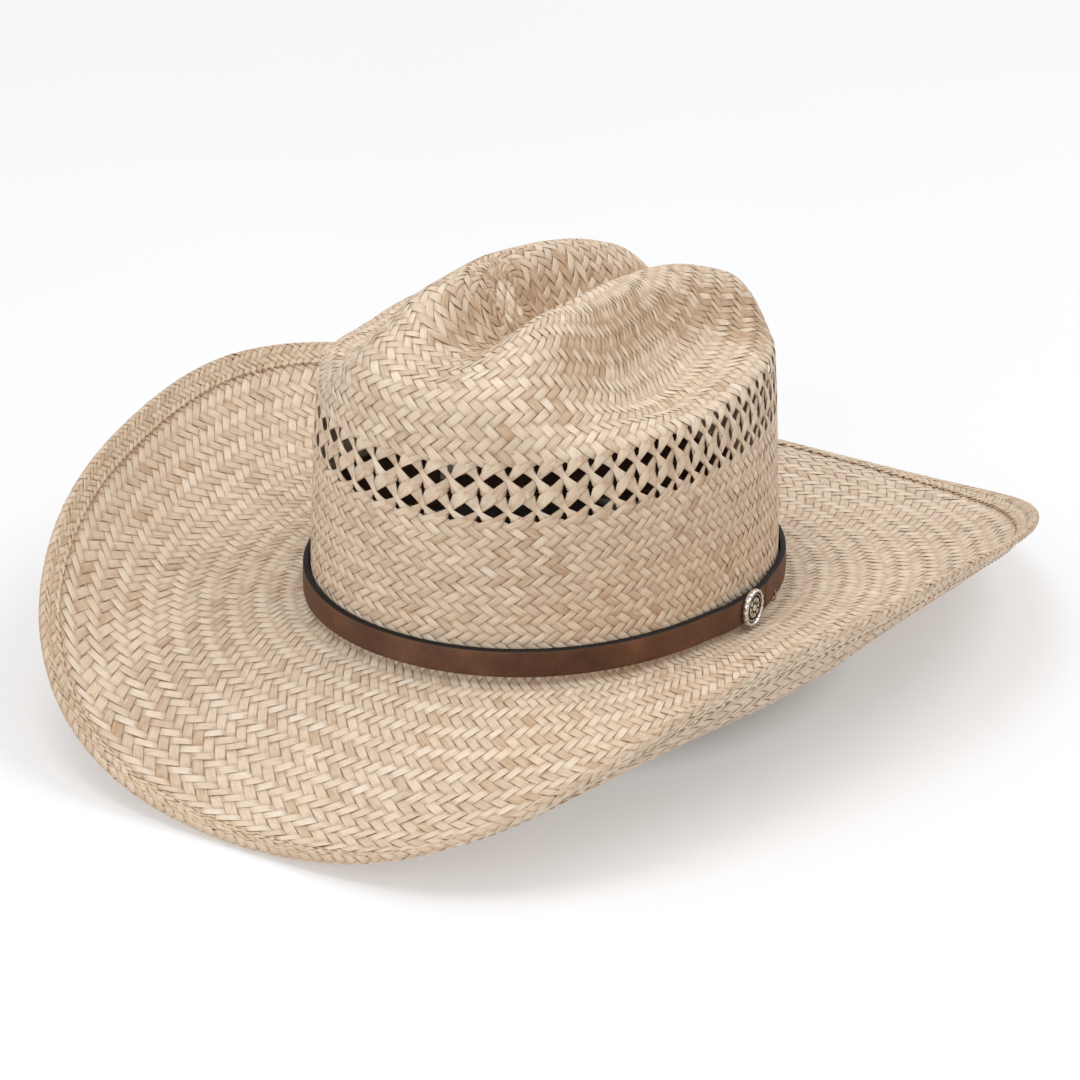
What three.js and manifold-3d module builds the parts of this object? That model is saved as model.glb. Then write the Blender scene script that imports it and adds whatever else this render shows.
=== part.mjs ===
// Western straw hat: an open-vent woven crown and brim, bound edge, leather band with a
// screw-on concho, and a leather sweatband inside. Millimetres, +Z up, the front of the hat
// faces -Y and the wearer's left is +X. The curves are drawn about the centre of the head
// opening at the height where the crown turns out into the brim, and every mesh is then moved
// by ORIGIN so that the hat stands on z = 0, centred over the origin.
// Angles run from the front (0) by the wearer's left (90) to the back (180).
import * as THREE from "three";
import Module from "manifold-3d";

const wasm = await Module();
wasm.setup();

// ---------------------------------------------------------------- driving dimensions
// A "series" lists the factors of 1, cos(a), cos(2a), cos(3a)... of the angle a.
const ORIGIN = [1.99, -2.025, 29.89]; // where the centre of the head opening stands
const HEAD_HALF_WIDTH = 85.49; // outside of the hatband, across
const HEAD_HALF_LENGTH = 105.3; // outside of the hatband, front to back
const OVAL_POWER = 2.066; // squareness of the head oval
const OVAL_EGG = 0.0459; // the oval is this much wider in front
const BREAK_Z = [0, 7.46, -1.7]; // series: height of the crown-to-brim line, higher in front
const BREAK_RADIUS = 3.2; // fillet from crown wall to brim

const STRAW_T = 1.5; // thickness of the woven shell
const RIM_SCALE = 0.964; // the crown tapers to this at its shoulder
const SHOULDER_START = 0.902; // share of the way out from the weave start to the rim
const SHOULDER_DROP = 8.48;
const WALL_BULGE = 0.6;
// Stations along the crown, front to back: y, ridge height, ridge distance from the
// centre plane, depth of the centre crease below the ridges.
const RIDGE_STATIONS = [
  [-100, 111.99, 18.37, 0],
  [-70, 121.34, 20.59, 7.06],
  [-40, 128.16, 22.81, 19.31],
  [-10, 127.74, 24.27, 26.15],
  [20, 123.65, 22.76, 26.36],
  [50, 116.65, 21.18, 21.58],
  [80, 104.93, 22.89, 14.56],
  [110, 89.44, 22.68, 6.64],
];
// Fall of the crown outside the ridges: degrees from the front, depth.
const DENT_STATIONS = [
  [0, 0], [20, 10.69], [40, 23.63], [60, 30.68], [80, 33.91],
  [100, 29.04], [125, 20.93], [150, 12.35], [180, 5.05],
];
const DENT_WIDTH = 28.92;
const DENT_HOLLOW = 3.0; // extra hollow near the foot of the dent
const HOLLOW_FULL_DENT = 28; // dent depth at which the hollow is full
const HOLLOW_PLACE = 1.15; // in dent widths outside the ridge
const HOLLOW_SPREAD = 0.5; // in dent widths
const RIDGE_ROUNDING = 2; // rounds the crown off across the centre plane
const WEAVE_START = [-14, -10]; // where the weave begins, in plan
const WEAVE_CENTRING = 0.8; // share of the way out where the weave becomes centred

const VENT_COUNT = 60; // holes in each of the two rows
const VENT_UPPER_Z = 82.9;
const VENT_LOWER_Z = 70.8;
const VENT_SHIFT = [0, 0.59, -2.14]; // series: added to the height of both rows
const VENT_HALF_HEIGHT = 2.7;

const EDGE_R = [
  191.107, -1.3103, 19.5311, 2.6064, -1.9011, -2.6257, -1.9213, -0.8842, -0.7723,
]; // series: radius of the brim edge
const EDGE_Z = [
  13.9483, 5.7367, -34.4695, -4.5174, -5.81, -1.7351, 0.2876, 0.7612, 0.7603,
]; // series: height of the brim edge
const EDGE_X_SHIFT = -1.992;
const SLOPE_IN = [0.103, 0.016, -0.2385, 0, -0.0087]; // series: brim slope at the crown, radians
const SLOPE_OUT = [0.6358, 0.339, -0.5435, 0, -0.137]; // series: brim slope at its edge, radians

const BAND_H = 10.8;
const BAND_T = 2.3;
const BAND_GAP = 0.4;
const BAND_STANDOFF = 0.9; // the lapped ends stand off the crown over the screw head
const BAND_BEVEL = 0.5;
const BAND_BACK_INSET = 0.02; // the back of the band is this much narrower at each edge
const TONGUE_T = 1.0; // thickness of each lapped end
const LAP_HALF = 9; // degrees
const LAP_EASE = 9; // degrees over which the band comes back to the crown
const CONCHO_ANGLE = 92.5; // on the wearer's left
const CONCHO_R = 7.2;
const CONCHO_H = 5.8; // height of its centre above the break line
const CONCHO_SIDES = 32;
const BOSS_R = 2.4;
const BORE_R = 1.6;
const STRAP_HOLE_R = 2.6;
const TACK_R = 0.35;

const BINDING_W = 11.4;
const BINDING_T = 0.75;
const BINDING_GAP = 0.3; // between the brim and the binding
const BINDING_BEND = 7.6; // in from the edge, where the binding's flat parts bend
const FOLD_R = 2.2; // outside radius of the rolled edge
const FOLD_T = 0.8; // thickness of the rolled edge
const FOLD_ARC = 70; // degrees each side of level
const WIRE_R = 0.7;
const WIRE_BREAK = 1.2; // degrees between the ends of the wire, at the back
const FERRULE_R = 1.22;
const FERRULE_BORE_R = 0.9;
const THREAD_R = 0.28;

const SWEAT_H = 30;
const SWEAT_T = 1.1;
const SWEAT_FOOT = -0.4; // height of its lower edge
const REED_R = 0.9;
const COLUMNS = VENT_COUNT; // columns of the shell's mesh, one to a vent

// ---------------------------------------------------------------- numbers and vectors
const { sin, cos, abs, PI, hypot, sqrt, tan, exp, min, max, atan2, floor } = Math;
const rad = (degrees) => (degrees * PI) / 180;
const clamp = (value, low, high) => min(high, max(low, value));
const smooth = (value) => {
  const t = clamp(value, 0, 1);
  return t * t * (3 - 2 * t);
};
const series = (terms, angle) => terms.reduce((sum, term, k) => sum + term * cos(k * angle), 0);
const steps = (from, to, count) =>
  Array.from({ length: count + 1 }, (_, i) => from + ((to - from) * i) / count);
const around = (count) => Array.from({ length: count }, (_, i) => rad((360 * i) / count));

const UP = [0, 0, 1];
const add = (a, b, k = 1) => [a[0] + b[0] * k, a[1] + b[1] * k, a[2] + b[2] * k];
const sub = (a, b) => add(a, b, -1);
const cross = (a, b) => [
  a[1] * b[2] - a[2] * b[1],
  a[2] * b[0] - a[0] * b[2],
  a[0] * b[1] - a[1] * b[0],
];
const unit = (a) => {
  const length = hypot(...a) || 1;
  return a.map((v) => v / length);
};
const lerp = (a, b, t) => a.map((v, i) => v + (b[i] - v) * t);
const circle = (x, y, r, count, turn = 0) =>
  Array.from({ length: count }, (_, i) => {
    const a = turn + (2 * PI * i) / count;
    return [x + r * cos(a), y + r * sin(a)];
  });

// Cubic from value v0 with tangent m0 to value v1 with tangent m1.
const hermite = (t, v0, m0, v1, m1) =>
  (2 * t ** 3 - 3 * t * t + 1) * v0 +
  (t ** 3 - 2 * t * t + t) * m0 +
  (3 * t * t - 2 * t ** 3) * v1 +
  (t ** 3 - t * t) * m1;

// Monotone cubic interpolation through a table.
function table(xs, ys) {
  const last = xs.length - 1;
  const widths = [];
  const secants = [];
  for (let i = 0; i < last; i++) {
    widths.push(xs[i + 1] - xs[i]);
    secants.push((ys[i + 1] - ys[i]) / widths[i]);
  }
  const slopes = new Array(last + 1).fill(0);
  for (let i = 1; i < last; i++) {
    if (secants[i - 1] * secants[i] <= 0) continue;
    const before = 2 * widths[i] + widths[i - 1];
    const after = widths[i] + 2 * widths[i - 1];
    slopes[i] = (before + after) / (before / secants[i - 1] + after / secants[i]);
  }
  slopes[0] = secants[0];
  slopes[last] = secants[last - 1];
  return (value) => {
    const x = clamp(value, xs[0], xs[last]);
    let i = 0;
    while (i < last - 1 && x >= xs[i + 1]) i++;
    const w = widths[i];
    return hermite((x - xs[i]) / w, ys[i], w * slopes[i], ys[i + 1], w * slopes[i + 1]);
  };
}

// A polyline that can be read by distance along it.
function measure(points) {
  const distances = [0];
  for (let i = 1; i < points.length; i++)
    distances.push(distances[i - 1] + hypot(...sub(points[i], points[i - 1])));
  const length = distances.at(-1);
  const at = (distance) => {
    const d = clamp(distance, 0, length);
    let i = 0;
    while (i < points.length - 2 && d > distances[i + 1]) i++;
    const t = (d - distances[i]) / (distances[i + 1] - distances[i]);
    return lerp(points[i], points[i + 1], t);
  };
  return { length, at };
}

// ---------------------------------------------------------------- crown and brim surfaces
const column = (rows, i) => rows.map((row) => row[i]);
const ridgeTable = (i) => table(column(RIDGE_STATIONS, 0), column(RIDGE_STATIONS, i));
const ridgeZ = ridgeTable(1);
const ridgeX = ridgeTable(2);
const creaseDepth = ridgeTable(3);
const dentDepth = table(column(DENT_STATIONS, 0).map(rad), column(DENT_STATIONS, 1));

// The head oval in plan, grown or shrunk by offset.
function oval(angle, offset, scale = 1) {
  const s = sin(angle);
  const c = cos(angle);
  const across = (abs(s) / (HEAD_HALF_WIDTH + offset)) ** OVAL_POWER;
  const lengthwise = (abs(c) / (HEAD_HALF_LENGTH + offset)) ** OVAL_POWER;
  const r = scale * (across + lengthwise) ** (-1 / OVAL_POWER);
  return [r * s * (1 + OVAL_EGG * c), -r * c];
}
const breakZ = (angle) => series(BREAK_Z, angle);
const WALL = -(BAND_T + BAND_GAP); // the crown's outer face at the break line

// Height of the creased crown top over a point in plan.
function crownTop(x, y) {
  const across = sqrt(x * x + RIDGE_ROUNDING ** 2) - RIDGE_ROUNDING;
  const ridge = ridgeX(y);
  const dent = dentDepth(atan2(abs(x), -y));
  const inside = clamp(across / ridge, 0, 1);
  const outside = (across - ridge) / DENT_WIDTH;
  const crease = creaseDepth(y) * (0.5 + 0.5 * cos(PI * inside));
  const hollow =
    DENT_HOLLOW *
    clamp(dent / HOLLOW_FULL_DENT, 0, 1) *
    exp(-(((outside - HOLLOW_PLACE) / HOLLOW_SPREAD) ** 2));
  return ridgeZ(y) - crease - dent * smooth(outside) - hollow;
}

// Plan point of the crown top, from the weave start (reach 0) to the rim (reach 1).
function topPlan(angle, reach) {
  const rim = oval(angle, WALL, RIM_SCALE);
  const pull = 1 - smooth(reach / WEAVE_CENTRING);
  return rim.map((v, i) => WEAVE_START[i] * pull + reach * v);
}
const shoulderZ = (angle) => crownTop(...topPlan(angle, 1)) - SHOULDER_DROP;

// A point on the crown wall, h above the break line and offset outside its outer face.
function wallAt(angle, h, offset = 0) {
  const foot = breakZ(angle);
  const t = clamp(1 - h / (shoulderZ(angle) - foot), 0, 1);
  const [x, y] = lerp(oval(angle, WALL, RIM_SCALE), oval(angle, WALL), t);
  const push = 1 + (WALL_BULGE * sin(PI * t) + offset) / hypot(x, y);
  return [x * push, y * push, foot + h];
}

// The crown's outer profile at one angle, from the break line up to where the weave starts.
function crownProfile(angle) {
  const wallHeight = shoulderZ(angle) - breakZ(angle);
  const points = steps(0, wallHeight, 24).map((h) => wallAt(angle, h));
  for (let i = 7; i >= 0; i--) {
    const turn = (PI / 2) * (i / 8);
    const [x, y] = topPlan(angle, SHOULDER_START + (1 - SHOULDER_START) * sin(turn));
    points.push([x, y, crownTop(x, y) - SHOULDER_DROP * (1 - cos(turn))]);
  }
  for (let i = 59; i >= 0; i--) {
    const [x, y] = topPlan(angle, (SHOULDER_START * i) / 60);
    points.push([x, y, crownTop(x, y)]);
  }
  return points;
}

function edgeAt(angle) {
  const r = series(EDGE_R, angle);
  return [r * sin(angle) + EDGE_X_SHIFT, -r * cos(angle), series(EDGE_Z, angle)];
}

// The brim's upper profile at one angle, from the foot of the fillet to the bound edge:
// straight in plan, a cubic in height.
function brimProfile(angle) {
  const edge = edgeAt(angle);
  const foot = [...oval(angle, WALL + BREAK_RADIUS), breakZ(angle) - BREAK_RADIUS];
  const span = hypot(edge[0] - foot[0], edge[1] - foot[1]);
  const riseIn = tan(series(SLOPE_IN, angle)) * span;
  const riseOut = tan(series(SLOPE_OUT, angle)) * span;
  return steps(0, 1, 60).map((t) => {
    const [x, y] = lerp(foot, edge, t);
    return [x, y, hermite(t, foot[2], riseIn, edge[2], riseOut)];
  });
}

// ---------------------------------------------------------------- mesh helpers
function signedVolume(verts, tris) {
  let sum = 0;
  for (const [a, b, c] of tris) {
    const normal = cross(verts[b], verts[c]);
    sum += verts[a].reduce((dot, v, i) => dot + v * normal[i], 0);
  }
  return sum;
}

// Builds a geometry, turning the triangles over if they face inwards.
function solid(verts, tris) {
  const outward = signedVolume(verts, tris) < 0 ? tris.map(([a, b, c]) => [a, c, b]) : tris;
  const geometry = new THREE.BufferGeometry();
  geometry.setAttribute("position", new THREE.Float32BufferAttribute(verts.flat(), 3));
  geometry.setIndex(outward.flat());
  return geometry;
}

// Equal cross-sections joined into one body: a closed ring, or an open run with capped ends.
function sweep(sections, closed) {
  const count = sections.length;
  const size = sections[0].length;
  const tris = [];
  for (let i = 0; i < (closed ? count : count - 1); i++)
    for (let j = 0; j < size; j++) {
      const here = i * size;
      const next = ((i + 1) % count) * size;
      const k = (j + 1) % size;
      tris.push([here + j, here + k, next + k], [here + j, next + k, next + j]);
    }
  if (!closed) {
    const end = (count - 1) * size;
    for (let j = 1; j < size - 1; j++) tris.push([0, j + 1, j], [end, end + j, end + j + 1]);
  }
  return solid(sections.flat(), tris);
}
const ring = (section) => sweep(around(COLUMNS).map(section), true);
const run = (section, from, to, count) =>
  sweep(steps(from, to, count).map((degrees) => section(rad(degrees))), false);

function toManifold(geometry) {
  const mesh = new wasm.Mesh({
    numProp: 3,
    vertProperties: new Float32Array(geometry.getAttribute("position").array),
    triVerts: new Uint32Array(geometry.index.array),
  });
  return new wasm.Manifold(mesh);
}
function fromManifold(manifold) {
  const mesh = manifold.getMesh();
  const geometry = new THREE.BufferGeometry();
  geometry.setAttribute("position", new THREE.BufferAttribute(mesh.vertProperties, 3));
  geometry.setIndex(new THREE.BufferAttribute(mesh.triVerts, 1));
  return geometry;
}

// ---------------------------------------------------------------- woven shell, crown and brim
const BRIM_INSET = FOLD_R + FERRULE_R + 0.35; // the straw stops clear of the ferrule
const BRIM_ROWS = [0, 0.06, 0.16, 0.28, 0.4, 0.52, 0.64, 0.76, 0.88, 1]; // edge to crown
const TOP_ROWS = 14; // steps from the upper vents to the weave start

// Rows of outer points from the brim edge inwards and up. The four rows that bound the vents
// have two points to a column, the others one.
function strawRows() {
  const lines = around(2 * COLUMNS).map((angle) => ({
    angle,
    brim: measure(brimProfile(angle)),
    crown: measure(crownProfile(angle)),
  }));
  const columnLines = lines.filter((_, i) => i % 2 === 0);
  const rows = [];
  const addRow = (place, from = columnLines) => rows.push(from.map((line) => place(line)));

  for (const u of BRIM_ROWS) addRow(({ brim }) => brim.at((brim.length - BRIM_INSET) * (1 - u)));
  for (const turn of [60, 30].map(rad))
    addRow(({ angle }) => [
      ...oval(angle, WALL + BREAK_RADIUS * (1 - cos(turn))),
      breakZ(angle) - BREAK_RADIUS * sin(turn),
    ]);

  const ventMiddle = (z, angle) => z + series(VENT_SHIFT, angle) - breakZ(angle);
  const ventFoot = ({ angle }) => ventMiddle(VENT_LOWER_Z, angle) - VENT_HALF_HEIGHT;
  const ventHead = ({ angle }) => ventMiddle(VENT_UPPER_Z, angle) + VENT_HALF_HEIGHT;
  for (const t of [0, 0.34, 0.68]) addRow((line) => line.crown.at(ventFoot(line) * t));
  const ventRows = [rows.length, rows.length + 2]; // each vent opens from this row to the next
  addRow((line) => line.crown.at(ventFoot(line)), lines);
  addRow((line) => line.crown.at(ventFoot(line) + 2 * VENT_HALF_HEIGHT), lines);
  addRow((line) => line.crown.at(ventHead(line) - 2 * VENT_HALF_HEIGHT), lines);
  addRow((line) => line.crown.at(ventHead(line)), lines);
  for (let i = 1; i < TOP_ROWS; i++)
    addRow((line) => {
      const head = ventHead(line);
      return line.crown.at(head + (line.crown.length - head) * (i / TOP_ROWS));
    });
  return { rows, ventRows };
}

// The point of a closed row at a fraction of the way round.
function sampleRow(row, fraction) {
  const count = row.length;
  const place = (((fraction * count) % count) + count) % count;
  const i = floor(place + 1e-9);
  return lerp(row[i % count], row[(i + 1) % count], place - i);
}

// The inner face: each point moved in by the straw's thickness, along the surface normal.
function innerRows(rows, pole) {
  const nudge = 1 / (2 * COLUMNS);
  return rows.map((row, i) =>
    row.map((point, j) => {
      const fraction = j / row.length;
      const above = i + 1 < rows.length ? sampleRow(rows[i + 1], fraction) : pole;
      const below = i > 0 ? sampleRow(rows[i - 1], fraction) : point;
      const along = sub(sampleRow(row, fraction + nudge), sampleRow(row, fraction - nudge));
      return add(point, unit(cross(along, sub(above, below))), -STRAW_T);
    }),
  );
}

// Triangles between two rows of vertex numbers, with equal counts or one twice the other.
// With vented set, every other cell is left open.
function joinRows(lower, upper, vented, tri) {
  const count = min(lower.length, upper.length);
  for (let j = 0; j < count; j++) {
    const k = (j + 1) % count;
    const m = 2 * j;
    if (lower.length === upper.length) {
      if (vented && j % 2 === 0) continue;
      tri(lower[j], lower[k], upper[k]);
      tri(lower[j], upper[k], upper[j]);
    } else if (upper.length > lower.length) {
      tri(lower[j], upper[m + 1], upper[m]);
      tri(lower[j], lower[k], upper[m + 1]);
      tri(lower[k], upper[(m + 2) % upper.length], upper[m + 1]);
    } else {
      tri(lower[m], lower[m + 1], upper[j]);
      tri(lower[m + 1], upper[k], upper[j]);
      tri(lower[m + 1], lower[(m + 2) % lower.length], upper[k]);
    }
  }
}

function strawBody() {
  const { rows, ventRows } = strawRows();
  const pole = [...WEAVE_START, crownTop(...WEAVE_START)];
  const verts = [];
  const tris = [];
  const put = (point) => verts.push(point) - 1;
  const outer = rows.map((row) => row.map(put));
  const inner = innerRows(rows, pole).map((row) => row.map(put));
  const quad = (a, b, c, d) => tris.push([a, b, c], [a, c, d]);
  const skin = (ids, poleId, tri) => {
    for (let i = 0; i < ids.length - 1; i++)
      joinRows(ids[i], ids[i + 1], ventRows.includes(i), tri);
    const last = ids.at(-1);
    last.forEach((id, j) => tri(id, last[(j + 1) % last.length], poleId));
  };
  skin(outer, put(pole), (a, b, c) => tris.push([a, b, c]));
  skin(inner, put(add(pole, UP, -STRAW_T)), (a, b, c) => tris.push([a, c, b]));

  // the four walls of each vent
  for (const i of ventRows)
    for (let j = 0; j < 2 * COLUMNS; j += 2) {
      const corners = (ids) => [ids[i][j], ids[i][j + 1], ids[i + 1][j + 1], ids[i + 1][j]];
      const a = corners(outer);
      const b = corners(inner);
      for (let e = 0; e < 4; e++) quad(a[e], a[(e + 1) % 4], b[(e + 1) % 4], b[e]);
    }
  // the brim's edge
  for (let j = 0; j < COLUMNS; j++) {
    const k = (j + 1) % COLUMNS;
    quad(outer[0][k], outer[0][j], inner[0][j], inner[0][k]);
  }
  return solid(verts, tris);
}

// ---------------------------------------------------------------- edge binding, wire, threads
// Cross-section points here are [inward, height]: in from the brim's edge, and up from the
// middle of the brim's thickness.
const FRAME_PITCH = 2.5;
const FRAME_COUNT = 6; // places in from the edge where the brim's normal is taken

function edgePoint(angle, inward, height) {
  const brim = measure(brimProfile(angle));
  const places = Array.from({ length: FRAME_COUNT }, (_, i) =>
    brim.at(brim.length - i * FRAME_PITCH),
  );
  const along = unit(sub(edgeAt(angle + 0.01), edgeAt(angle - 0.01)));
  const normalAt = (i) => {
    const outward = unit(sub(places[max(0, i - 1)], places[min(FRAME_COUNT - 1, i + 1)]));
    return unit(cross(outward, along));
  };
  const i = clamp(floor(inward / FRAME_PITCH), 0, FRAME_COUNT - 2);
  const t = inward / FRAME_PITCH - i;
  const normal = unit(lerp(normalAt(i), normalAt(i + 1), t));
  return add(lerp(places[i], places[i + 1], t), normal, height - STRAW_T / 2);
}
const edgeRing = (profile) => ring((angle) => profile.map(([w, h]) => edgePoint(angle, w, h)));

// The same point on the straight facets between the ring's columns.
function facetPoint(angle, inward, height) {
  const step = (2 * PI) / COLUMNS;
  const i = floor(angle / step + 1e-9);
  const corner = (k) => edgePoint(k * step, inward, height);
  return lerp(corner(i), corner(i + 1), angle / step - i);
}
const edgeCircle = (inward, height, r, count, turn) =>
  circle(0, 0, r, count, turn).map(([x, y]) => [inward - x, height + y]);
const tube = (degrees, r, count) =>
  edgeCircle(FOLD_R, 0, r, count).map(([w, h]) => facetPoint(rad(degrees), w, h));

const BINDING_IN = STRAW_T / 2 + BINDING_GAP; // inside face over the flat brim
const BINDING_OUT = BINDING_IN + BINDING_T;

function edgeBinding() {
  const fold = (r, from, to, count) =>
    steps(from, to, count).map((d) => [FOLD_R - r * cos(rad(d)), r * sin(rad(d))]);
  const bevel = BINDING_W - 0.5;
  const foldEndOut = FOLD_R + 2.4;
  const foldEndIn = FOLD_R + 2.0;
  return edgeRing([
    [bevel, BINDING_OUT],
    [BINDING_BEND, BINDING_OUT],
    [foldEndOut, BINDING_OUT],
    ...fold(FOLD_R, FOLD_ARC, -FOLD_ARC, 4),
    [foldEndOut, -BINDING_OUT],
    [BINDING_BEND, -BINDING_OUT],
    [bevel, -BINDING_OUT],
    [BINDING_W, -BINDING_IN],
    [BINDING_BEND, -BINDING_IN],
    [foldEndIn, -BINDING_IN],
    ...fold(FOLD_R - FOLD_T, -FOLD_ARC, FOLD_ARC, 3),
    [foldEndIn, BINDING_IN],
    [BINDING_BEND, BINDING_IN],
    [BINDING_W, BINDING_IN],
  ]);
}

// The wire in the rolled edge goes once round, from the back to the back.
function brimWire() {
  const pitch = 360 / COLUMNS;
  const stations = [
    180 + WIRE_BREAK / 2,
    ...steps(180 + pitch, 540 - pitch, COLUMNS - 2),
    540 - WIRE_BREAK / 2,
  ];
  return sweep(stations.map((degrees) => tube(degrees, WIRE_R, 6)), false);
}

// A short sleeve over the wire's ends: its lengthwise section, outside and then bore, is
// carried round the wire.
function wireFerrule() {
  const sides = 10;
  const stations = [178, 180, 182];
  const outside = stations.map((degrees) => tube(degrees, FERRULE_R, sides));
  const bore = stations.map((degrees) => tube(degrees, FERRULE_BORE_R, sides)).reverse();
  const loops = [...outside, ...bore];
  return sweep(Array.from({ length: sides }, (_, j) => column(loops, j)), true);
}

// One thread ring on the upper face (side 1) or the under face (side -1) of the binding.
function bindingStitch(side) {
  const height = BINDING_OUT + 0.25 + THREAD_R;
  return edgeRing(edgeCircle(BINDING_W - 1.3, side * height, THREAD_R, 4, PI / 4));
}

// ---------------------------------------------------------------- hatband
// A point on the crown wall with its level directions along the wall and outwards.
function wallFrame(degrees, h) {
  const angle = rad(degrees);
  const [x, y] = sub(wallAt(angle + 0.01, h), wallAt(angle - 0.01, h));
  const along = unit([x, y, 0]);
  return { point: wallAt(angle, h), along, outward: [along[1], -along[0], 0] };
}
function frameMatrix(xAxis, yAxis, zAxis, position) {
  const axes = [xAxis, yAxis, zAxis].map((axis) => new THREE.Vector3(...axis));
  return new THREE.Matrix4().makeBasis(...axes).setPosition(...position);
}

// The concho's own axes: x along the wall, y up, z out from the crown's outer face.
const conchoFrame = wallFrame(CONCHO_ANGLE, CONCHO_H);
const conchoMatrix = frameMatrix(conchoFrame.along, UP, conchoFrame.outward, conchoFrame.point);
const conchoCylinder = (r, z0, z1, segments) =>
  wasm.Manifold.cylinder(z1 - z0, r, r, segments)
    .translate([0, 0, z0])
    .transform(Array.from(conchoMatrix.elements));

// A bevelled cross-section of the band; inside and outside are depths from its back face.
function strapSection([degrees, inside, outside]) {
  const fromConcho = abs(((degrees - CONCHO_ANGLE + 540) % 360) - 180);
  const lift = BAND_STANDOFF * (1 - smooth((fromConcho - LAP_HALF) / LAP_EASE));
  const back = BAND_GAP + inside + lift;
  const face = BAND_GAP + outside + lift;
  const bevel = min(BAND_BEVEL, (outside - inside) * 0.35);
  const outline = [
    [BAND_BACK_INSET, back],
    [0, face - bevel],
    [bevel, face],
    [BAND_H - bevel, face],
    [BAND_H, face - bevel],
    [BAND_H - BAND_BACK_INSET, back],
  ];
  return outline.map(([h, offset]) => wallAt(rad(degrees), h, offset));
}

function hatbandStrap() {
  const lapStart = CONCHO_ANGLE - LAP_HALF;
  const lapEnd = CONCHO_ANGLE + LAP_HALF;
  const lap = steps(lapStart, lapEnd, 6);
  const full = [
    lapEnd + 1.2,
    ...steps(lapEnd + 6, lapStart + 360 - 6, 55),
    lapStart + 360 - 1.2,
  ];
  const stations = [
    ...lap.map((degrees) => [degrees, 0, TONGUE_T]), // inner tongue under the concho
    ...full.map((degrees) => [degrees, 0, BAND_T]),
    ...lap.map((degrees) => [degrees + 360, BAND_T - TONGUE_T, BAND_T]), // outer tongue over it
  ];
  const strap = toManifold(sweep(stations.map(strapSection), false));
  return fromManifold(strap.subtract(conchoCylinder(STRAP_HOLE_R, -0.5, 5, 24)));
}

// Concho profile from the bottom of its bore to the middle of its face: radius, z, and
// whether the rim is cut to flats there.
const CONCHO_PROFILE = [
  [BORE_R, 4.7],
  [BORE_R, 1.3],
  [BOSS_R, 1.3],
  [BOSS_R, 3.9],
  [CONCHO_R - 0.5, 3.9],
  [CONCHO_R, 4.3, true],
  [CONCHO_R, 5.9, true],
  [CONCHO_R - 0.35, 6.3, true],
  [CONCHO_R - 1.1, 6.3],
  [CONCHO_R - 1.5, 5.6],
  [4.2, 5.9],
  [3.4, 5.7],
  [2.0, 6.2],
  [0.9, 6.4],
];
function conchoDisc() {
  const size = CONCHO_PROFILE.length;
  const verts = [];
  const tris = [];
  around(CONCHO_SIDES).forEach((angle, j) => {
    for (const [radius, z, flat] of CONCHO_PROFILE) {
      // every other point drops to the middle of a flat
      const r = flat && j % 2 ? radius * cos((2 * PI) / CONCHO_SIDES) : radius;
      verts.push([r * cos(angle), r * sin(angle), z]);
    }
  });
  const bottom = verts.push([0, 0, CONCHO_PROFILE[0][1]]) - 1;
  const top = verts.push([0, 0, CONCHO_PROFILE[size - 1][1]]) - 1;
  for (let j = 0; j < CONCHO_SIDES; j++) {
    const here = j * size;
    const next = ((j + 1) % CONCHO_SIDES) * size;
    for (let i = 0; i < size - 1; i++) {
      const a = here + i;
      const b = next + i;
      tris.push([a, b, b + 1], [a, b + 1, a + 1]);
    }
    tris.push([here, bottom, next], [here + size - 1, next + size - 1, top]);
  }
  const placed = verts.map((p) => new THREE.Vector3(...p).applyMatrix4(conchoMatrix).toArray());
  return solid(placed, tris);
}
function conchoScrew() {
  const head = conchoCylinder(4.0, 0.3, 1.0, 24);
  return fromManifold(head.add(conchoCylinder(1.35, 0.9, 4.3, 16)));
}

// A thread stitch that holds the band down, from its face round its lower edge.
const TACK_PATH = [[3.4, 2.4], [3.4, -0.7], [2.7, -1.25], [1.5, -1.35]]; // outwards, up
function tack(degrees) {
  const { point, along, outward } = wallFrame(degrees, 0);
  const place = (out, up) => add(add(point, outward, out), UP, up);
  const sections = TACK_PATH.map(([out, up], i) => {
    const before = TACK_PATH[max(0, i - 1)];
    const after = TACK_PATH[min(TACK_PATH.length - 1, i + 1)];
    const step = [after[0] - before[0], after[1] - before[1]];
    const length = hypot(...step);
    return circle(0, 0, TACK_R, 6).map(([c, s]) => {
      const centre = place(out - (s * step[1]) / length, up + (s * step[0]) / length);
      return add(centre, along, c);
    });
  });
  return sweep(sections, false);
}

// ---------------------------------------------------------------- sweatband and its trimmings
// Offsets are from the crown's outer face, so they are negative inside the hat.
const SWEAT_OUT = -(STRAW_T + 0.4);
const SWEAT_IN = SWEAT_OUT - SWEAT_T;
const TRIM_OUT = SWEAT_IN - 0.3; // outward face of the tape and label
const TAPE_T = 0.5;
const LABEL_T = 0.35;

// An all but closed ring, with a slit at the back.
function sweatband() {
  const outline = [
    [SWEAT_FOOT, SWEAT_OUT],
    [SWEAT_H * 0.5, SWEAT_OUT],
    [SWEAT_H, SWEAT_OUT],
    [SWEAT_H, SWEAT_IN],
    [SWEAT_H * 0.5, SWEAT_IN],
    [SWEAT_FOOT, SWEAT_IN],
  ];
  const section = (angle) => outline.map(([h, offset]) => wallAt(angle, h, offset));
  return run(section, -179.8, 179.8, COLUMNS);
}

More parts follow.
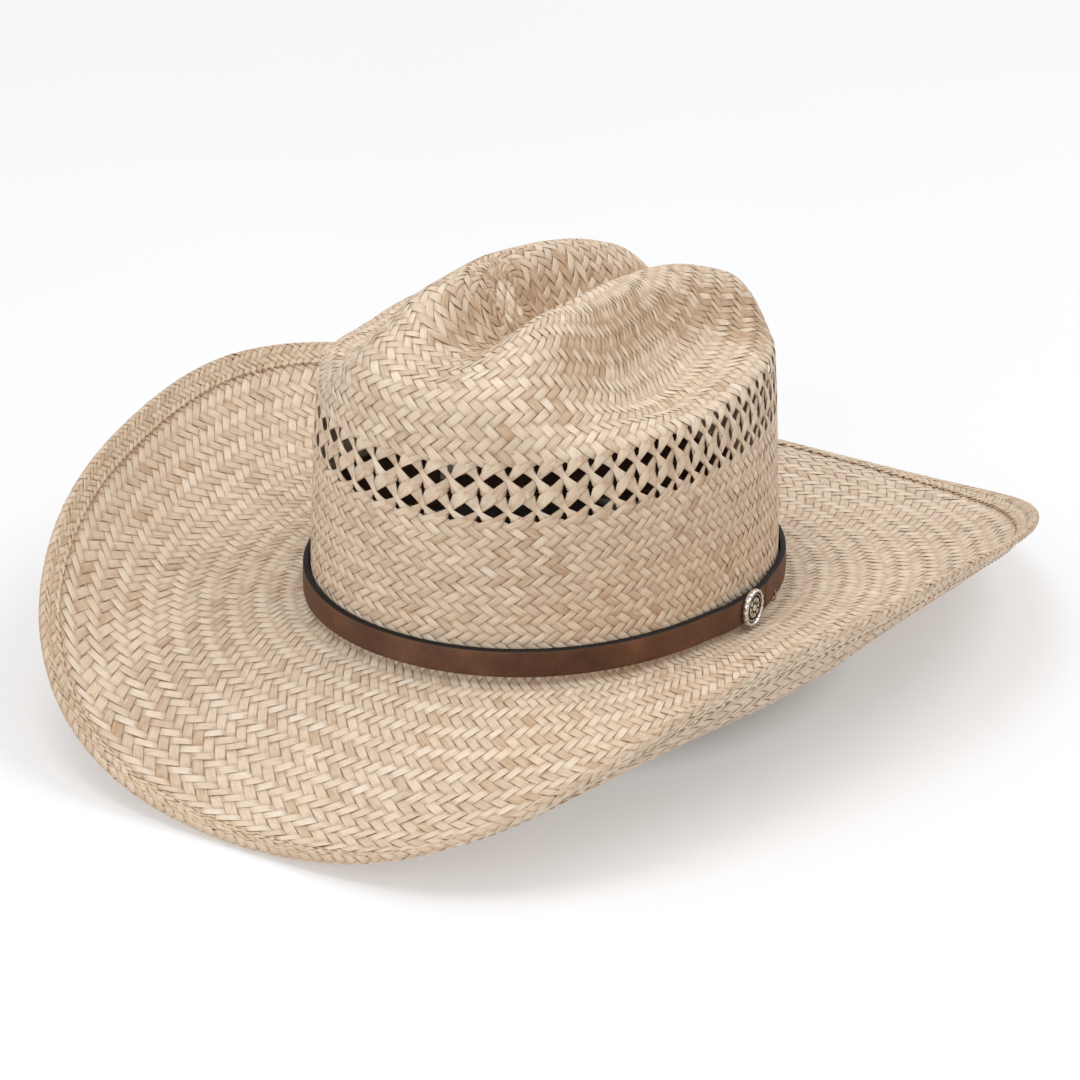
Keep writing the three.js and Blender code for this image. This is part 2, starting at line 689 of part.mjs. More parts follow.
// A ring along the wall, of polygonal section.
const wallRing = (offset, h, r, count, turn) =>
  ring((angle) => circle(offset, h, r, count, turn).map(([o, z]) => wallAt(angle, z, o)));
const sweatbandReed = () => wallRing(-2.65, -1.95, REED_R, 6); // below the sweatband
const sweatbandStitch = () => wallRing(SWEAT_IN - 0.55, 3.2, THREAD_R, 4, PI / 4);

// A thin patch on the inside of the sweatband.
function patch({ angles, heights, thickness }) {
  const [low, high] = heights;
  const inside = TRIM_OUT - thickness;
  const section = (angle) => [
    wallAt(angle, low, TRIM_OUT),
    wallAt(angle, high, TRIM_OUT),
    wallAt(angle, high, inside),
    wallAt(angle, low, inside),
  ];
  return run(section, ...angles, 4);
}
const seamTape = () =>
  patch({ angles: [176.4, 183.6], heights: [4.6, 28.5], thickness: TAPE_T }); // at the back
const sizeLabel = () =>
  patch({ angles: [-126, -114], heights: [11, 22], thickness: LABEL_T }); // right, behind

// The bow's ellipsoids: x, z, half-sizes, tilt in degrees. Its z points down.
const BOW_PARTS = [
  [-6.6, 0.4, [6.4, 1.2, 3.1], 8], // loops
  [6.6, 0.4, [6.4, 1.2, 3.1], -8],
  [0, 0, [2.1, 1.6, 2.3], 0], // knot
  [-3.4, -4.6, [1.6, 0.7, 4.6], 32], // tails
  [3.4, -4.6, [1.6, 0.7, 4.6], -32],
];
function sweatbandBow() {
  const { point, along, outward } = wallFrame(180, 12);
  const centre = add(point, outward, TRIM_OUT - TAPE_T - 2.1);
  const matrix = frameMatrix(along, outward, cross(along, outward), centre);
  const shape = BOW_PARTS.map(([x, z, halfSizes, tilt]) =>
    wasm.Manifold.sphere(1, 16).scale(halfSizes).rotate([0, tilt, 0]).translate([x, 0, z]),
  ).reduce((whole, part) => whole.add(part));
  return fromManifold(shape.transform(Array.from(matrix.elements)));
}

// ---------------------------------------------------------------- the hat
const material = (settings) => new THREE.MeshStandardMaterial(settings);
const STRAW = material({ color: 0xd3bc9c, roughness: 0.75 });
const BINDING = material({ color: 0xc2a37c, roughness: 0.8 });
const LEATHER = material({ color: 0x4f2c1c, roughness: 0.5 });
const SWEAT = material({ color: 0x6b452c, roughness: 0.6 });
const THREAD = material({ color: 0xb0895a, roughness: 0.85 });
const SILVER = material({ color: 0xc9c9c6, roughness: 0.3, metalness: 1 });
const STEEL = material({ color: 0x8c8f92, roughness: 0.35, metalness: 1 });
const RIBBON = material({ color: 0x3a2418, roughness: 0.7 });
const LABEL = material({ color: 0xe6e0d2, roughness: 0.8 });

const group = new THREE.Group();
group.name = "western_straw_hat";
for (const [name, geometry, surface] of [
  ["straw_body", strawBody(), STRAW],
  ["edge_binding", edgeBinding(), BINDING],
  ["brim_wire", brimWire(), STEEL],
  ["wire_ferrule", wireFerrule(), STEEL],
  ["binding_stitch_top", bindingStitch(1), THREAD],
  ["binding_stitch_under", bindingStitch(-1), THREAD],
  ["hatband_strap", hatbandStrap(), LEATHER],
  ["concho_disc", conchoDisc(), SILVER],
  ["concho_screw", conchoScrew(), STEEL],
  ["hatband_tack_left", tack(CONCHO_ANGLE + 19), THREAD],
  ["hatband_tack_right", tack(-90), THREAD],
  ["hatband_tack_back", tack(180), THREAD],
  ["sweatband", sweatband(), SWEAT],
  ["sweatband_reed", sweatbandReed(), RIBBON],
  ["sweatband_stitch", sweatbandStitch(), THREAD],
  ["sweatband_seam_tape", seamTape(), SWEAT],
  ["sweatband_bow", sweatbandBow(), RIBBON],
  ["size_label", sizeLabel(), LABEL],
]) {
  const mesh = new THREE.Mesh(geometry, surface);
  mesh.name = name;
  mesh.position.set(...ORIGIN);
  group.add(mesh);
}
export default group;
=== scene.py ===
import math
import bpy
import numpy as np
from mathutils import Matrix


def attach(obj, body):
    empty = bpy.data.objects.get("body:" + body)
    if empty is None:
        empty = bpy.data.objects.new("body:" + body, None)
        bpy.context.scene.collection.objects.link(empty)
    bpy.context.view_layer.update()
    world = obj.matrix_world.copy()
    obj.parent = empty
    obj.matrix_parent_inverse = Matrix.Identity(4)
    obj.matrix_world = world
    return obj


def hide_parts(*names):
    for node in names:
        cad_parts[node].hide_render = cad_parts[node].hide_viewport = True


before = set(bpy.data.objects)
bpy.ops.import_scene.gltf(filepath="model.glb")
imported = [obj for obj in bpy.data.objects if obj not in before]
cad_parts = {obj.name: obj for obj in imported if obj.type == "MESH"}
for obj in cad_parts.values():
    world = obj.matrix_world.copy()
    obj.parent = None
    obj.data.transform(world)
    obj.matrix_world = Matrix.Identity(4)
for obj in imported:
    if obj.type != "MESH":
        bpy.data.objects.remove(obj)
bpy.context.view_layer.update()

rng = np.random.default_rng(7)
ORIGIN = np.array([1.99, -2.025, 29.89])  # mm, where the centre of the head opening stands

# ------------------------------------------------------------------ the hat's curves, in mm
AX, AY, POW, EGG = 85.49, 105.3, 2.066, 0.0459
BREAK_R, STRAW_T, RIM, SH0, DROP = 3.2, 1.5, 0.964, 0.902, 8.48
WALL = -2.7
WEAVE_START = (-14.0, -10.0)
EDGE_R = [191.107, -1.3103, 19.5311, 2.6064, -1.9011, -2.6257, -1.9213, -0.8842, -0.7723]
EDGE_Z = [13.9483, 5.7367, -34.4695, -4.5174, -5.81, -1.7351, 0.2876, 0.7612, 0.7603]
SLOPE_IN = [0.103, 0.016, -0.2385, -0.0087]
SLOPE_OUT = [0.6358, 0.339, -0.5435, -0.137]


def smooth(t):
    t = np.clip(t, 0, 1)
    return t * t * (3 - 2 * t)


def table(xk, yk):
    xk, yk = np.array(xk, float), np.array(yk, float)
    n, h = len(xk), np.diff(xk)
    d = np.diff(yk) / h
    m = np.zeros(n)
    for i in range(1, n - 1):
        if d[i - 1] * d[i] > 0:
            w1, w2 = 2 * h[i] + h[i - 1], h[i] + 2 * h[i - 1]
            m[i] = (w1 + w2) / (w1 / d[i - 1] + w2 / d[i])
    m[0], m[-1] = d[0], d[-1]

    def f(x):
        x = np.clip(x, xk[0], xk[-1])
        i = np.clip(np.searchsorted(xk, x, side="right") - 1, 0, n - 2)
        t = (x - xk[i]) / h[i]
        return ((2 * t**3 - 3 * t * t + 1) * yk[i] + (t**3 - 2 * t * t + t) * h[i] * m[i]
                + (3 * t * t - 2 * t**3) * yk[i + 1] + (t**3 - t * t) * h[i] * m[i + 1])
    return f


RIDGE_Y = [-100, -70, -40, -10, 20, 50, 80, 110]
ridge_z = table(RIDGE_Y, [111.99, 121.34, 128.16, 127.74, 123.65, 116.65, 104.93, 89.44])
ridge_x = table(RIDGE_Y, [18.37, 20.59, 22.81, 24.27, 22.76, 21.18, 22.89, 22.68])
crease = table(RIDGE_Y, [0, 7.06, 19.31, 26.15, 26.36, 21.58, 14.56, 6.64])
dent = table(np.radians([0, 20, 40, 60, 80, 100, 125, 150, 180]), [0, 10.69, 23.63, 30.68, 33.91, 29.04, 20.93, 12.35, 5.05])


def oval(phi, off=0.0, k=1.0):
    s, c = np.sin(phi), np.cos(phi)
    r = k * ((np.abs(s) / (AX + off)) ** POW + (np.abs(c) / (AY + off)) ** POW + 1e-12) ** (-1 / POW)
    return r * s * (1 + EGG * c), -r * c


def break_z(phi):
    return 7.46 * np.cos(phi) - 1.7 * np.cos(2 * phi)


def crown_top(x, y):
    ax = np.sqrt(x * x + 4) - 2
    xr = ridge_x(y)
    ds = dent(np.arctan2(np.abs(x), -y))
    u = np.clip(ax / xr, 0, 1)
    w = (ax - xr) / 28.92
    return (ridge_z(y) - crease(y) * (0.5 + 0.5 * np.cos(np.pi * u)) - ds * smooth(w)
            - 3.0 * np.clip(ds / 28, 0, 1) * np.exp(-(((w - 1.15) / 0.5) ** 2)))


def top_xy(phi, rho):
    x, y = oval(phi, WALL, RIM)
    g = 1 - smooth(rho / 0.8)
    return WEAVE_START[0] * g + rho * x, WEAVE_START[1] * g + rho * y


def shoulder_z(phi):
    x, y = top_xy(phi, np.ones_like(phi))
    return crown_top(x, y) - DROP


def wall_at(phi, h, off=0.0):
    phi = np.asarray(phi, float)
    zb = break_z(phi)
    t = np.clip(1 - h / (shoulder_z(phi) - zb), 0, 1)
    rx, ry = oval(phi, WALL, RIM)
    bx, by = oval(phi, WALL)
    x, y = rx * (1 - t) + bx * t, ry * (1 - t) + by * t
    n = np.hypot(x, y)
    b = 0.6 * np.sin(np.pi * t) + off
    return np.stack(np.broadcast_arrays(x + b * x / n, y + b * y / n, zb + h), -1)


def crown_profile(phi):
    zs = shoulder_z(phi) - break_z(phi)
    rows = [wall_at(phi, zs * i / 24) for i in range(25)]
    for i in range(7, -1, -1):
        a = math.pi / 2 * i / 8
        x, y = top_xy(phi, np.full_like(phi, SH0 + (1 - SH0) * math.sin(a)))
        rows.append(np.stack([x, y, crown_top(x, y) - DROP * (1 - math.cos(a))], -1))
    for i in range(89, -1, -1):
        x, y = top_xy(phi, np.full_like(phi, SH0 * i / 90))
        rows.append(np.stack([x, y, crown_top(x, y)], -1))
    return np.stack(rows, 1)


def edge_at(phi):
    R = sum(c * np.cos(k * phi) for k, c in enumerate(EDGE_R))
    Z = sum(c * np.cos(k * phi) for k, c in enumerate(EDGE_Z))
    return np.stack([R * np.sin(phi) - 1.992, -R * np.cos(phi), Z], -1)


def slope(c, phi):
    return c[0] + c[1] * np.cos(phi) + c[2] * np.cos(2 * phi) + c[3] * np.cos(4 * phi)


def brim_profile(phi, n=90):
    E = edge_at(phi)
    bx, by = oval(phi, WALL + BREAK_R)
    B = np.stack([bx, by, break_z(phi) - BREAK_R], -1)
    L = np.hypot(E[:, 0] - B[:, 0], E[:, 1] - B[:, 1])
    T0 = E - B
    T1 = E - B
    T0[:, 2] = np.tan(slope(SLOPE_IN, phi)) * L
    T1[:, 2] = np.tan(slope(SLOPE_OUT, phi)) * L
    t = np.linspace(0, 1, n + 1)[None, :, None]
    return ((2 * t**3 - 3 * t * t + 1) * B[:, None] + (t**3 - 2 * t * t + t) * T0[:, None]
            + (3 * t * t - 2 * t**3) * E[:, None] + (t**3 - t * t) * T1[:, None])


def arc_lengths(P):
    d = np.linalg.norm(np.diff(P, axis=1), axis=2)
    return np.concatenate([np.zeros((len(P), 1)), np.cumsum(d, axis=1)], 1)


def resample(P, S, at):
    """Rows of points P with lengths S, read at lengths at, one row each."""
    out = np.empty(at.shape + (3,))
    for i in range(len(P)):
        for k in range(3):
            out[i, :, k] = np.interp(at[i], S[i], P[i, :, k])
    return out


def unit(v):
    return v / np.maximum(np.linalg.norm(v, axis=-1, keepdims=True), 1e-12)


class Sheet:
    """A surface over (angle, g), read by interpolation, with its outward normal."""

    def __init__(self, P, g0, dg, outward):
        self.P, self.g0, self.dg = P, g0, dg
        du = np.roll(P, -1, 0) - np.roll(P, 1, 0)
        dv = np.gradient(P, axis=1)
        n = unit(np.cross(du, dv))
        self.N = n * (1 if (n * outward).sum() > 0 else -1)

    def __call__(self, th, g):
        nt, ng = self.P.shape[:2]
        x = (th / (2 * np.pi)) % 1.0 * nt
        i = np.floor(x).astype(int)
        fx = (x - i)[..., None]
        i %= nt
        k = (i + 1) % nt
        y = np.clip((g - self.g0) / self.dg, 0, ng - 1.001)
        j = np.floor(y).astype(int)
        fy = (y - j)[..., None]
        def mix(A):
            return (A[i, j] * (1 - fx) + A[k, j] * fx) * (1 - fy) + (A[i, j + 1] * (1 - fx) + A[k, j + 1] * fx) * fy
        return mix(self.P), unit(mix(self.N))


TH = np.arange(480) * 2 * np.pi / 480

# crown: g 0 at the break line, 17 and 19 at the two rows of vents; three rings of weave, each with half the
# strips of the one outside it, meet at the fractions X1 and X2 of the way from the upper vents to the middle
G_LOW, G_UP, G_B0 = 17, 19, 33.25
X1, X2, X3 = 0.544, 0.796, 0.935
cp = crown_profile(TH)
cs = arc_lengths(cp)
vent = lambda z: z + 0.59 * np.cos(TH) - 2.14 * np.cos(2 * TH) - break_z(TH)
sL, sU, sP = vent(70.8), vent(82.9), cs[:, -1]
mid = np.array([0, 0, 40.0])


def crown_sheet(gg, x_of):
    at = np.empty((len(TH), len(gg)))
    for c, g in enumerate(gg):
        if x_of is None and g <= G_LOW:
            at[:, c] = sL * g / G_LOW
        elif x_of is None and g <= G_UP:
            at[:, c] = sL + (sU - sL) * (g - G_LOW) / (G_UP - G_LOW)
        else:
            x = min(1.0, x_of(g) if x_of else (g - G_UP) / (G_B0 - G_UP) * X1)
            at[:, c] = sU + (sP - sU) * x
    P = resample(cp, cs, np.maximum(at, 0))
    P[..., 2] += np.minimum(at, 0)
    return Sheet(P, gg[0], gg[1] - gg[0], P - mid)


CROWN = crown_sheet(np.arange(-1.5, 36.1, 0.25), None)
CROWN1 = crown_sheet(np.arange(-0.5, 10.1, 0.25), lambda g: X1 + (X2 - X1) * (g - 1.25) / 6)
CROWN2 = crown_sheet(np.arange(-0.5, 7.1, 0.25), lambda g: X2 + (X3 - X2) * (g - 1.25) / 4)

# brim: g 0 up on the wall under the band, through the fillet and out to the bound edge
bp = brim_profile(TH)
fil = []
for h in (5.0, 3.5, 2.0, 1.0, 0.3):
    fil.append(wall_at(TH, h))
for a in np.radians([8, 20, 35, 50, 65, 80]):
    x, y = oval(TH, WALL + BREAK_R * (1 - math.cos(a)))
    fil.append(np.stack([x, y, break_z(TH) - BREAK_R * math.sin(a)], -1))
bpp = np.concatenate([np.stack(fil, 1), bp], 1)
bs = arc_lengths(bpp)
G_BRIM = 21
gb = np.arange(0, G_BRIM + 0.26, 0.25)
brim_P = resample(bpp, bs, (bs[:, -1:] - 3.0) * np.minimum(gb / G_BRIM, 1)[None])
BRIM = Sheet(brim_P, 0, 0.25, np.array([0, 0, 1.0]) + 0.9 * unit(brim_P * [1, 1, 0]))


# ------------------------------------------------------------------ mesh helper
def add_mesh(name, V, Q, attrs=None, mat=None, body="hat", nodes=(), smooth_shade=True, T=None):
    """V in mm in the drawing frame, Q quads, T triangles."""
    V = np.ascontiguousarray((V + ORIGIN) / 1000.0, dtype=np.float32)
    faces = [np.asarray(Q, np.int32).reshape(-1, 4)] if Q is not None and len(Q) else []
    nq = len(faces[0]) if faces else 0
    tr = np.asarray(T, np.int32).reshape(-1, 3) if T is not None and len(T) else np.zeros((0, 3), np.int32)
    # outward faces
    vol = 0.0
    tris = [tr]
    if nq:
        q = faces[0]
        tris += [q[:, [0, 1, 2]], q[:, [0, 2, 3]]]
    for t in tris:
        if len(t):
            vol += float(np.einsum("ij,ij->i", V[t[:, 0]].astype(float), np.cross(V[t[:, 1]].astype(float), V[t[:, 2]].astype(float))).sum())
    if vol < 0:
        tr = tr[:, ::-1]
        if nq:
            faces[0] = faces[0][:, ::-1]
    loops = np.concatenate([faces[0].ravel() if nq else np.zeros(0, np.int32), tr.ravel()]).astype(np.int32)
    totals = np.concatenate([np.full(nq, 4, np.int32), np.full(len(tr), 3, np.int32)])
    starts = np.concatenate([[0], np.cumsum(totals)[:-1]]).astype(np.int32)
    me = bpy.data.meshes.new(name)
    me.vertices.add(len(V))
    me.vertices.foreach_set("co", V.ravel())
    me.loops.add(len(loops))
    me.loops.foreach_set("vertex_index", loops)
    me.polygons.add(len(totals))
    me.polygons.foreach_set("loop_start", starts)
    me.polygons.foreach_set("loop_total", totals)
    me.polygons.foreach_set("use_smooth", np.full(len(totals), smooth_shade))
    me.update(calc_edges=True)
    for k, a in (attrs or {}).items():
        at_ = me.attributes.new(k, "FLOAT", "POINT")
        at_.data.foreach_set("value", np.ascontiguousarray(a, dtype=np.float32).ravel())
    o = bpy.data.objects.new(name, me)
    bpy.context.scene.collection.objects.link(o)
    if mat:
        me.materials.append(mat)
    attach(o, body)
    if nodes:
        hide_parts(*nodes)
    return o


def tube_quads(n, m, closed=False, base=0):
    """Quads of n rings of m points, each run capped by the caller."""
    i = np.arange(n if closed else n - 1)[:, None]
    j = np.arange(m)[None]
    a = i * m + j
    b = i * m + (j + 1) % m
    c = ((i + 1) % n) * m + (j + 1) % m
    d = ((i + 1) % n) * m + j
    return np.stack([a, b, c, d], -1).reshape(-1, 4) + base


# ------------------------------------------------------------------ weave
SECT = np.array([[-1.0, 0.02], [-0.78, 0.15], [0.0, 0.19], [0.78, 0.15], [1.0, 0.02], [0.7, -0.15], [-0.7, -0.15]])
SQ = np.array([0.22, 0.6, 1.0, 1.4, 1.78, 2.22, 2.6, 3.0, 3.4, 3.78])
HV = np.array([0.72, 1.0, 1.06, 1.0, 0.72, -0.72, -1.0, -1.06, -1.0, -0.72])


def weave(sheet, N, family, g_a, g_b, strips, phase=0.5, half=0.492, h=0.26, thick=1.0, mid_off=-0.72,
          gamma=None, mm_q=3.1, alt=0.0, seed=1, end_drop=0.0, wobble=0.03, painted_sheen=0.0, shade_and_wear=None):
    """Strips of one family: ribbons that run diagonally over the sheet and cross the other family over two, under two."""
    r = np.random.default_rng(seed + (1000 if family else 0))
    qa, qb = 2 * g_a, 2 * g_b
    q = (np.arange(int(qa // 4) * 4, qb + 4, 4)[:, None] + SQ[None]).ravel()
    hv = np.tile(HV, len(q) // 10)
    keep = (q >= qa) & (q <= qb)
    q, hv = q[keep], hv[keep]
    M, C = len(q), len(SECT)
    V_all, Q_all, A_id, A_a, A_l, A_t, A_d, A_g = [], [], [], [], [], [], [], []
    base = 0
    nf = int(qb // 2) + 4
    for i in strips:
        par = i % 2
        wob = r.normal(0, 1, nf)
        wobz = r.normal(0, 1, nf)
        wob2 = r.normal(0, 1, nf)
        tilt = r.normal(0, 1)
        ft = r.random(nf)
        sid = r.random()
        fi = np.clip((q / 2).astype(int) - int(qa // 2), 0, nf - 1)
        last = M
        qq, hh = q, hv
        a = SECT[:, 0][None]
        wf = 1 + 0.07 * np.interp(qq, np.arange(nf) * 2.0 + qa, wob2)[:, None]
        x = i + 0.5 + half * a * np.clip(wf, 0.86, 1.06)
        x = x + wobble * np.interp(qq, np.arange(nf) * 2.0 + qa, wob)[:, None]
        g = (x - i + qq[:, None]) / 2
        dz = 0.06 * a * tilt
        if gamma is not None:
            # round the vents the strips gather in overlapping pairs
            gm = gamma(g)
            sg = np.clip(gm / 0.5, 0, 1)
            wd = 1 - sg + sg * 0.97 * 2 * (1 - gm)
            x = (i + 1 - (1 - gm) + wd * (x - i)) if par else (i + (1 - gm) - wd * (i + 1 - x))
            dz = dz * (1 - sg) + sg * (-0.16 if par else 0.14)
        u = (x - g) if family == 0 else (g - x)
        th = 2 * np.pi * (u + phase) / N
        P, n = sheet(th, g)
        z = (hh if family == 0 else -hh) * h
        z = z[:, None] + SECT[:, 1][None] * thick + dz + 0.03 * np.interp(qq, np.arange(nf) * 2.0 + qa, wobz)[:, None]
        if end_drop:
            z = z - end_drop * smooth((g - (g_b - 1.2)) / 1.2)
        V = P + n * (z + mid_off)[..., None]
        k = len(qq)
        if k < 3:
            continue
        V_all.append(V.reshape(-1, 3))
        Qs = tube_quads(k, C, base=base)
        e0, e1 = base, base + (k - 1) * C
        caps = []
        for e, fl in ((e0, 1), (e1, 0)):
            quads = [[e + 0, e + 1, e + 5, e + 6], [e + 1, e + 2, e + 3, e + 5], [e + 3, e + 4, e + 5, e + 5]]
            for qd in quads[:2]:
                caps.append(qd[::-1] if fl == 0 else qd)
        Q_all.append(Qs)
        Q_all.append(np.array([c_[::-1] for c_ in caps]))
        base += k * C
        one = np.ones((k, C))
        A_id.append((one * sid).ravel())
        A_a.append((one * SECT[:, 0][None]).ravel())
        A_l.append((one * (qq * mm_q)[:, None]).ravel())
        # painted sheen: a per-family offset makes one family of strips lighter than the other, in place of the
        # different sheen of strips that run one way or the other
        tone = 0.08 + 0.36 * sid + 0.30 * ft[fi] + (alt if i % 2 else 0) + painted_sheen
        # on the crown this adds painted shade in the crease and side dents, partly also handling wear, and a browner
        # weave start
        A_t.append((np.clip(tone, 0, 1.4)[:, None] + (shade_and_wear(P) if shade_and_wear is not None else 0 * one)).ravel())
        A_d.append((one * ((hh if family == 0 else -hh))[:, None]).ravel())
        A_g.append(g.ravel())
    attrs = {"s_id": np.concatenate(A_id), "s_a": np.concatenate(A_a), "s_l": np.concatenate(A_l),
             "s_t": np.concatenate(A_t), "s_d": np.concatenate(A_d), "s_g": np.concatenate(A_g)}
    return np.concatenate(V_all), np.concatenate(Q_all), attrs


# ------------------------------------------------------------------ materials
def srgb(r, g, b):
    f = lambda c: ((c / 255 + 0.055) / 1.055) ** 2.4 if c > 10.3 else c / 255 / 12.92
    return (f(r), f(g), f(b), 1.0)


class Mat:
    def __init__(self, name):
        self.m = bpy.data.materials.new(name)
        self.m.use_nodes = True
        self.t = self.m.node_tree
        self.bsdf = self.t.nodes["Principled BSDF"]

    def n(self, kind, **kw):
        node = self.t.nodes.new(kind)
        ins = kw.pop("ins", {})
        for k, v in kw.items():
            setattr(node, k, v)
        for k, v in ins.items():
            if isinstance(v, bpy.types.NodeSocket):
                self.t.links.new(v, node.inputs[k])
            else:
                node.inputs[k].default_value = v
        return node

    def attr(self, name):
        return self.n("ShaderNodeAttribute", attribute_name=name).outputs["Fac"]

    def math(self, op, a, b=None, c=None, clamp=False):
        ins = {0: a}
        if b is not None:
            ins[1] = b
        if c is not None:
            ins[2] = c
        return self.n("ShaderNodeMath", operation=op, use_clamp=clamp, ins=ins).outputs[0]

    def ramp(self, fac, stops):
        node = self.n("ShaderNodeValToRGB", ins={0: fac})
        el = node.color_ramp.elements
        while len(el) < len(stops):
            el.new(0.5)
        for e, (p, c) in zip(el, stops):
            e.position = p
            e.color = c if len(c) == 4 else (*c, 1)
        return node.outputs["Color"]

    def mix(self, fac, a, b, mode="MIX"):
        node = self.n("ShaderNodeMix", data_type="RGBA", blend_type=mode)
        for k, v in ((0, fac), (6, a), (7, b)):
            if isinstance(v, bpy.types.NodeSocket):
                self.t.links.new(v, node.inputs[k])
            else:
                node.inputs[k].default_value = v
        return node.outputs[2]

    def noise(self, vec, scale=1.0, detail=3.0, rough=0.5):
        node = self.n("ShaderNodeTexNoise", ins={"Vector": vec, "Scale": scale, "Detail": detail, "Roughness": rough})
        return node.outputs["Fac"]

    def xyz(self, x, y, z):
        return self.n("ShaderNodeCombineXYZ", ins={0: x, 1: y, 2: z}).outputs[0]

    def coords(self):
        return self.n("ShaderNodeTexCoord").outputs["Object"]

    def map(self, fac, a, b, c=0.0, d=1.0):
        return self.n("ShaderNodeMapRange", ins={"Value": fac, "From Min": a, "From Max": b, "To Min": c, "To Max": d}).outputs["Result"]

    def bump(self, height, strength, dist=0.001):
        node = self.n("ShaderNodeBump", ins={"Height": height, "Strength": strength, "Distance": dist})
        self.t.links.new(node.outputs[0], self.bsdf.inputs["Normal"])

    def set(self, **kw):
        for k, v in kw.items():
            k = k.replace("_", " ")
            if isinstance(v, bpy.types.NodeSocket):
                self.t.links.new(v, self.bsdf.inputs[k])
            else:
                self.bsdf.inputs[k].default_value = v
        return self.m


def straw_material(name, light, midc, grey, dark, brown, brown_amount=0.6, speck=0.0, zone=None):
    M = Mat(name)
    sid, sa, sl, st, sd = (M.attr(k) for k in ("s_id", "s_a", "s_l", "s_t", "s_d"))
    seed = M.math("MULTIPLY", sid, 173.0)
    fib = M.noise(M.xyz(M.math("MULTIPLY", sa, 3.4), M.math("MULTIPLY", sl, 0.16), seed), 1.3, 5.0, 0.62)
    fine = M.noise(M.xyz(M.math("MULTIPLY", sa, 9.0), M.math("MULTIPLY", sl, 0.22), seed), 1.6, 4.0, 0.6)
    blot = M.noise(M.xyz(M.math("MULTIPLY", sa, 0.5), M.math("MULTIPLY", sl, 0.08), seed), 1.0, 2.0, 0.5)
    tone = M.math("ADD", st, M.math("MULTIPLY", M.math("SUBTRACT", blot, 0.5), 1.0))
    deep = tuple(c * k for c, k in zip(dark[:3], (0.66, 0.62, 0.58)))
    base = M.ramp(M.math("MULTIPLY", tone, 0.625), [(0.0, light), (0.2625, midc), (0.469, grey), (0.625, dark), (0.94, deep)])
    streak = M.ramp(fib, [(0.30, (0.70, 0.64, 0.56)), (0.46, (0.93, 0.91, 0.88)), (0.60, (1, 1, 1)), (0.75, (1.06, 1.05, 1.04))])
    base = M.mix(0.62, base, M.mix(1.0, base, streak, "MULTIPLY"))
    lines = M.ramp(fine, [(0.33, (0.74, 0.62, 0.48)), (0.43, (1, 1, 1))])
    base = M.mix(0.45, base, M.mix(1.0, base, lines, "MULTIPLY"))
    edge = M.math("POWER", M.math("ABSOLUTE", sa), 12.0)
    # painted shade: strips are painted browner and darker where they dive under a crossing strip and where they lie
    # under it
    dive_shade = M.map(M.math("ABSOLUTE", sd), 0.95, 0.55)
    under = M.map(sd, 0.3, -0.9)
    bn = M.noise(M.xyz(M.math("MULTIPLY", sa, 1.2), M.math("MULTIPLY", sl, 0.35), M.math("ADD", seed, 31.0)), 1.0, 3.0, 0.6)
    amount = M.math("MULTIPLY", M.map(bn, 0.42, 0.66), brown_amount, clamp=True)
    f = M.math("MULTIPLY", M.math("MAXIMUM", edge, M.math("MULTIPLY", dive_shade, 0.8)), amount, clamp=True)
    if speck:
        sp = M.noise(M.xyz(M.math("MULTIPLY", sa, 2.5), M.math("MULTIPLY", sl, 0.6), M.math("ADD", seed, 7.0)), 1.2, 3.0, 0.6)
        f = M.math("MAXIMUM", f, M.math("MULTIPLY", M.map(sp, 0.58, 0.68), speck), clamp=True)
    if zone:
        z = zone(M)
        f = M.math("MAXIMUM", f, z, clamp=True)
    base = M.mix(f, base, brown)
    # painted shade: darker brown where a strip dives under or lies under a crossing strip
    base = M.mix(M.math("MULTIPLY", M.math("MAXIMUM", under, M.math("MULTIPLY", dive_shade, 0.5)), 0.25, clamp=True), base, srgb(150, 112, 76))
    M.bump(M.math("ADD", M.math("MULTIPLY", fib, 0.6), M.math("MULTIPLY", fine, 0.4)), 0.35, 0.0004)
    return M.set(Base_Color=base, Roughness=M.map(fib, 0.3, 0.7, 0.62, 0.44), Specular_IOR_Level=0.35)


straw_mat = straw_material("palm_straw", srgb(242, 228, 210), srgb(234, 214, 190), srgb(222, 202, 180), srgb(205, 177, 148), srgb(160, 108, 66), brown_amount=0.62)
bind_mat = straw_material("binding_straw", srgb(238, 223, 202), srgb(228, 208, 183), srgb(215, 194, 167), srgb(194, 165, 133), srgb(158, 106, 64),
                          brown_amount=0.8, speck=0.6,
                          zone=lambda M: M.math("MULTIPLY", M.map(M.math("ABSOLUTE", M.math("SUBTRACT", M.attr("s_g"), 4.0)), 0.9, 0.25), 0.22))


def leather_material(name, base_c, dark_c, light_c, edge_attr=None, rough=0.42, grain=900.0):
    M = Mat(name)
    co = M.coords()
    vor = M.n("ShaderNodeTexVoronoi", ins={"Vector": co, "Scale": grain})
    big = M.noise(co, 45.0, 4.0, 0.6)
    fine = M.noise(co, 700.0, 3.0, 0.6)
    base = M.ramp(big, [(0.3, dark_c), (0.52, base_c), (0.72, light_c)])
    base = M.mix(M.map(fine, 0.35, 0.65, 0.0, 0.25), base, dark_c)
    if edge_attr:
        e = M.attr(edge_attr)
        en = M.math("ADD", e, M.math("MULTIPLY", M.math("SUBTRACT", big, 0.5), 0.35))
        base = M.mix(M.map(en, 0.45, 0.85), base, srgb(12, 8, 6))
    M.bump(M.math("ADD", vor.outputs["Distance"], M.math("MULTIPLY", fine, 0.6)), 0.28, 0.0003)
    return M.set(Base_Color=base, Roughness=M.map(big, 0.3, 0.7, rough - 0.06, rough + 0.1), Specular_IOR_Level=0.3)


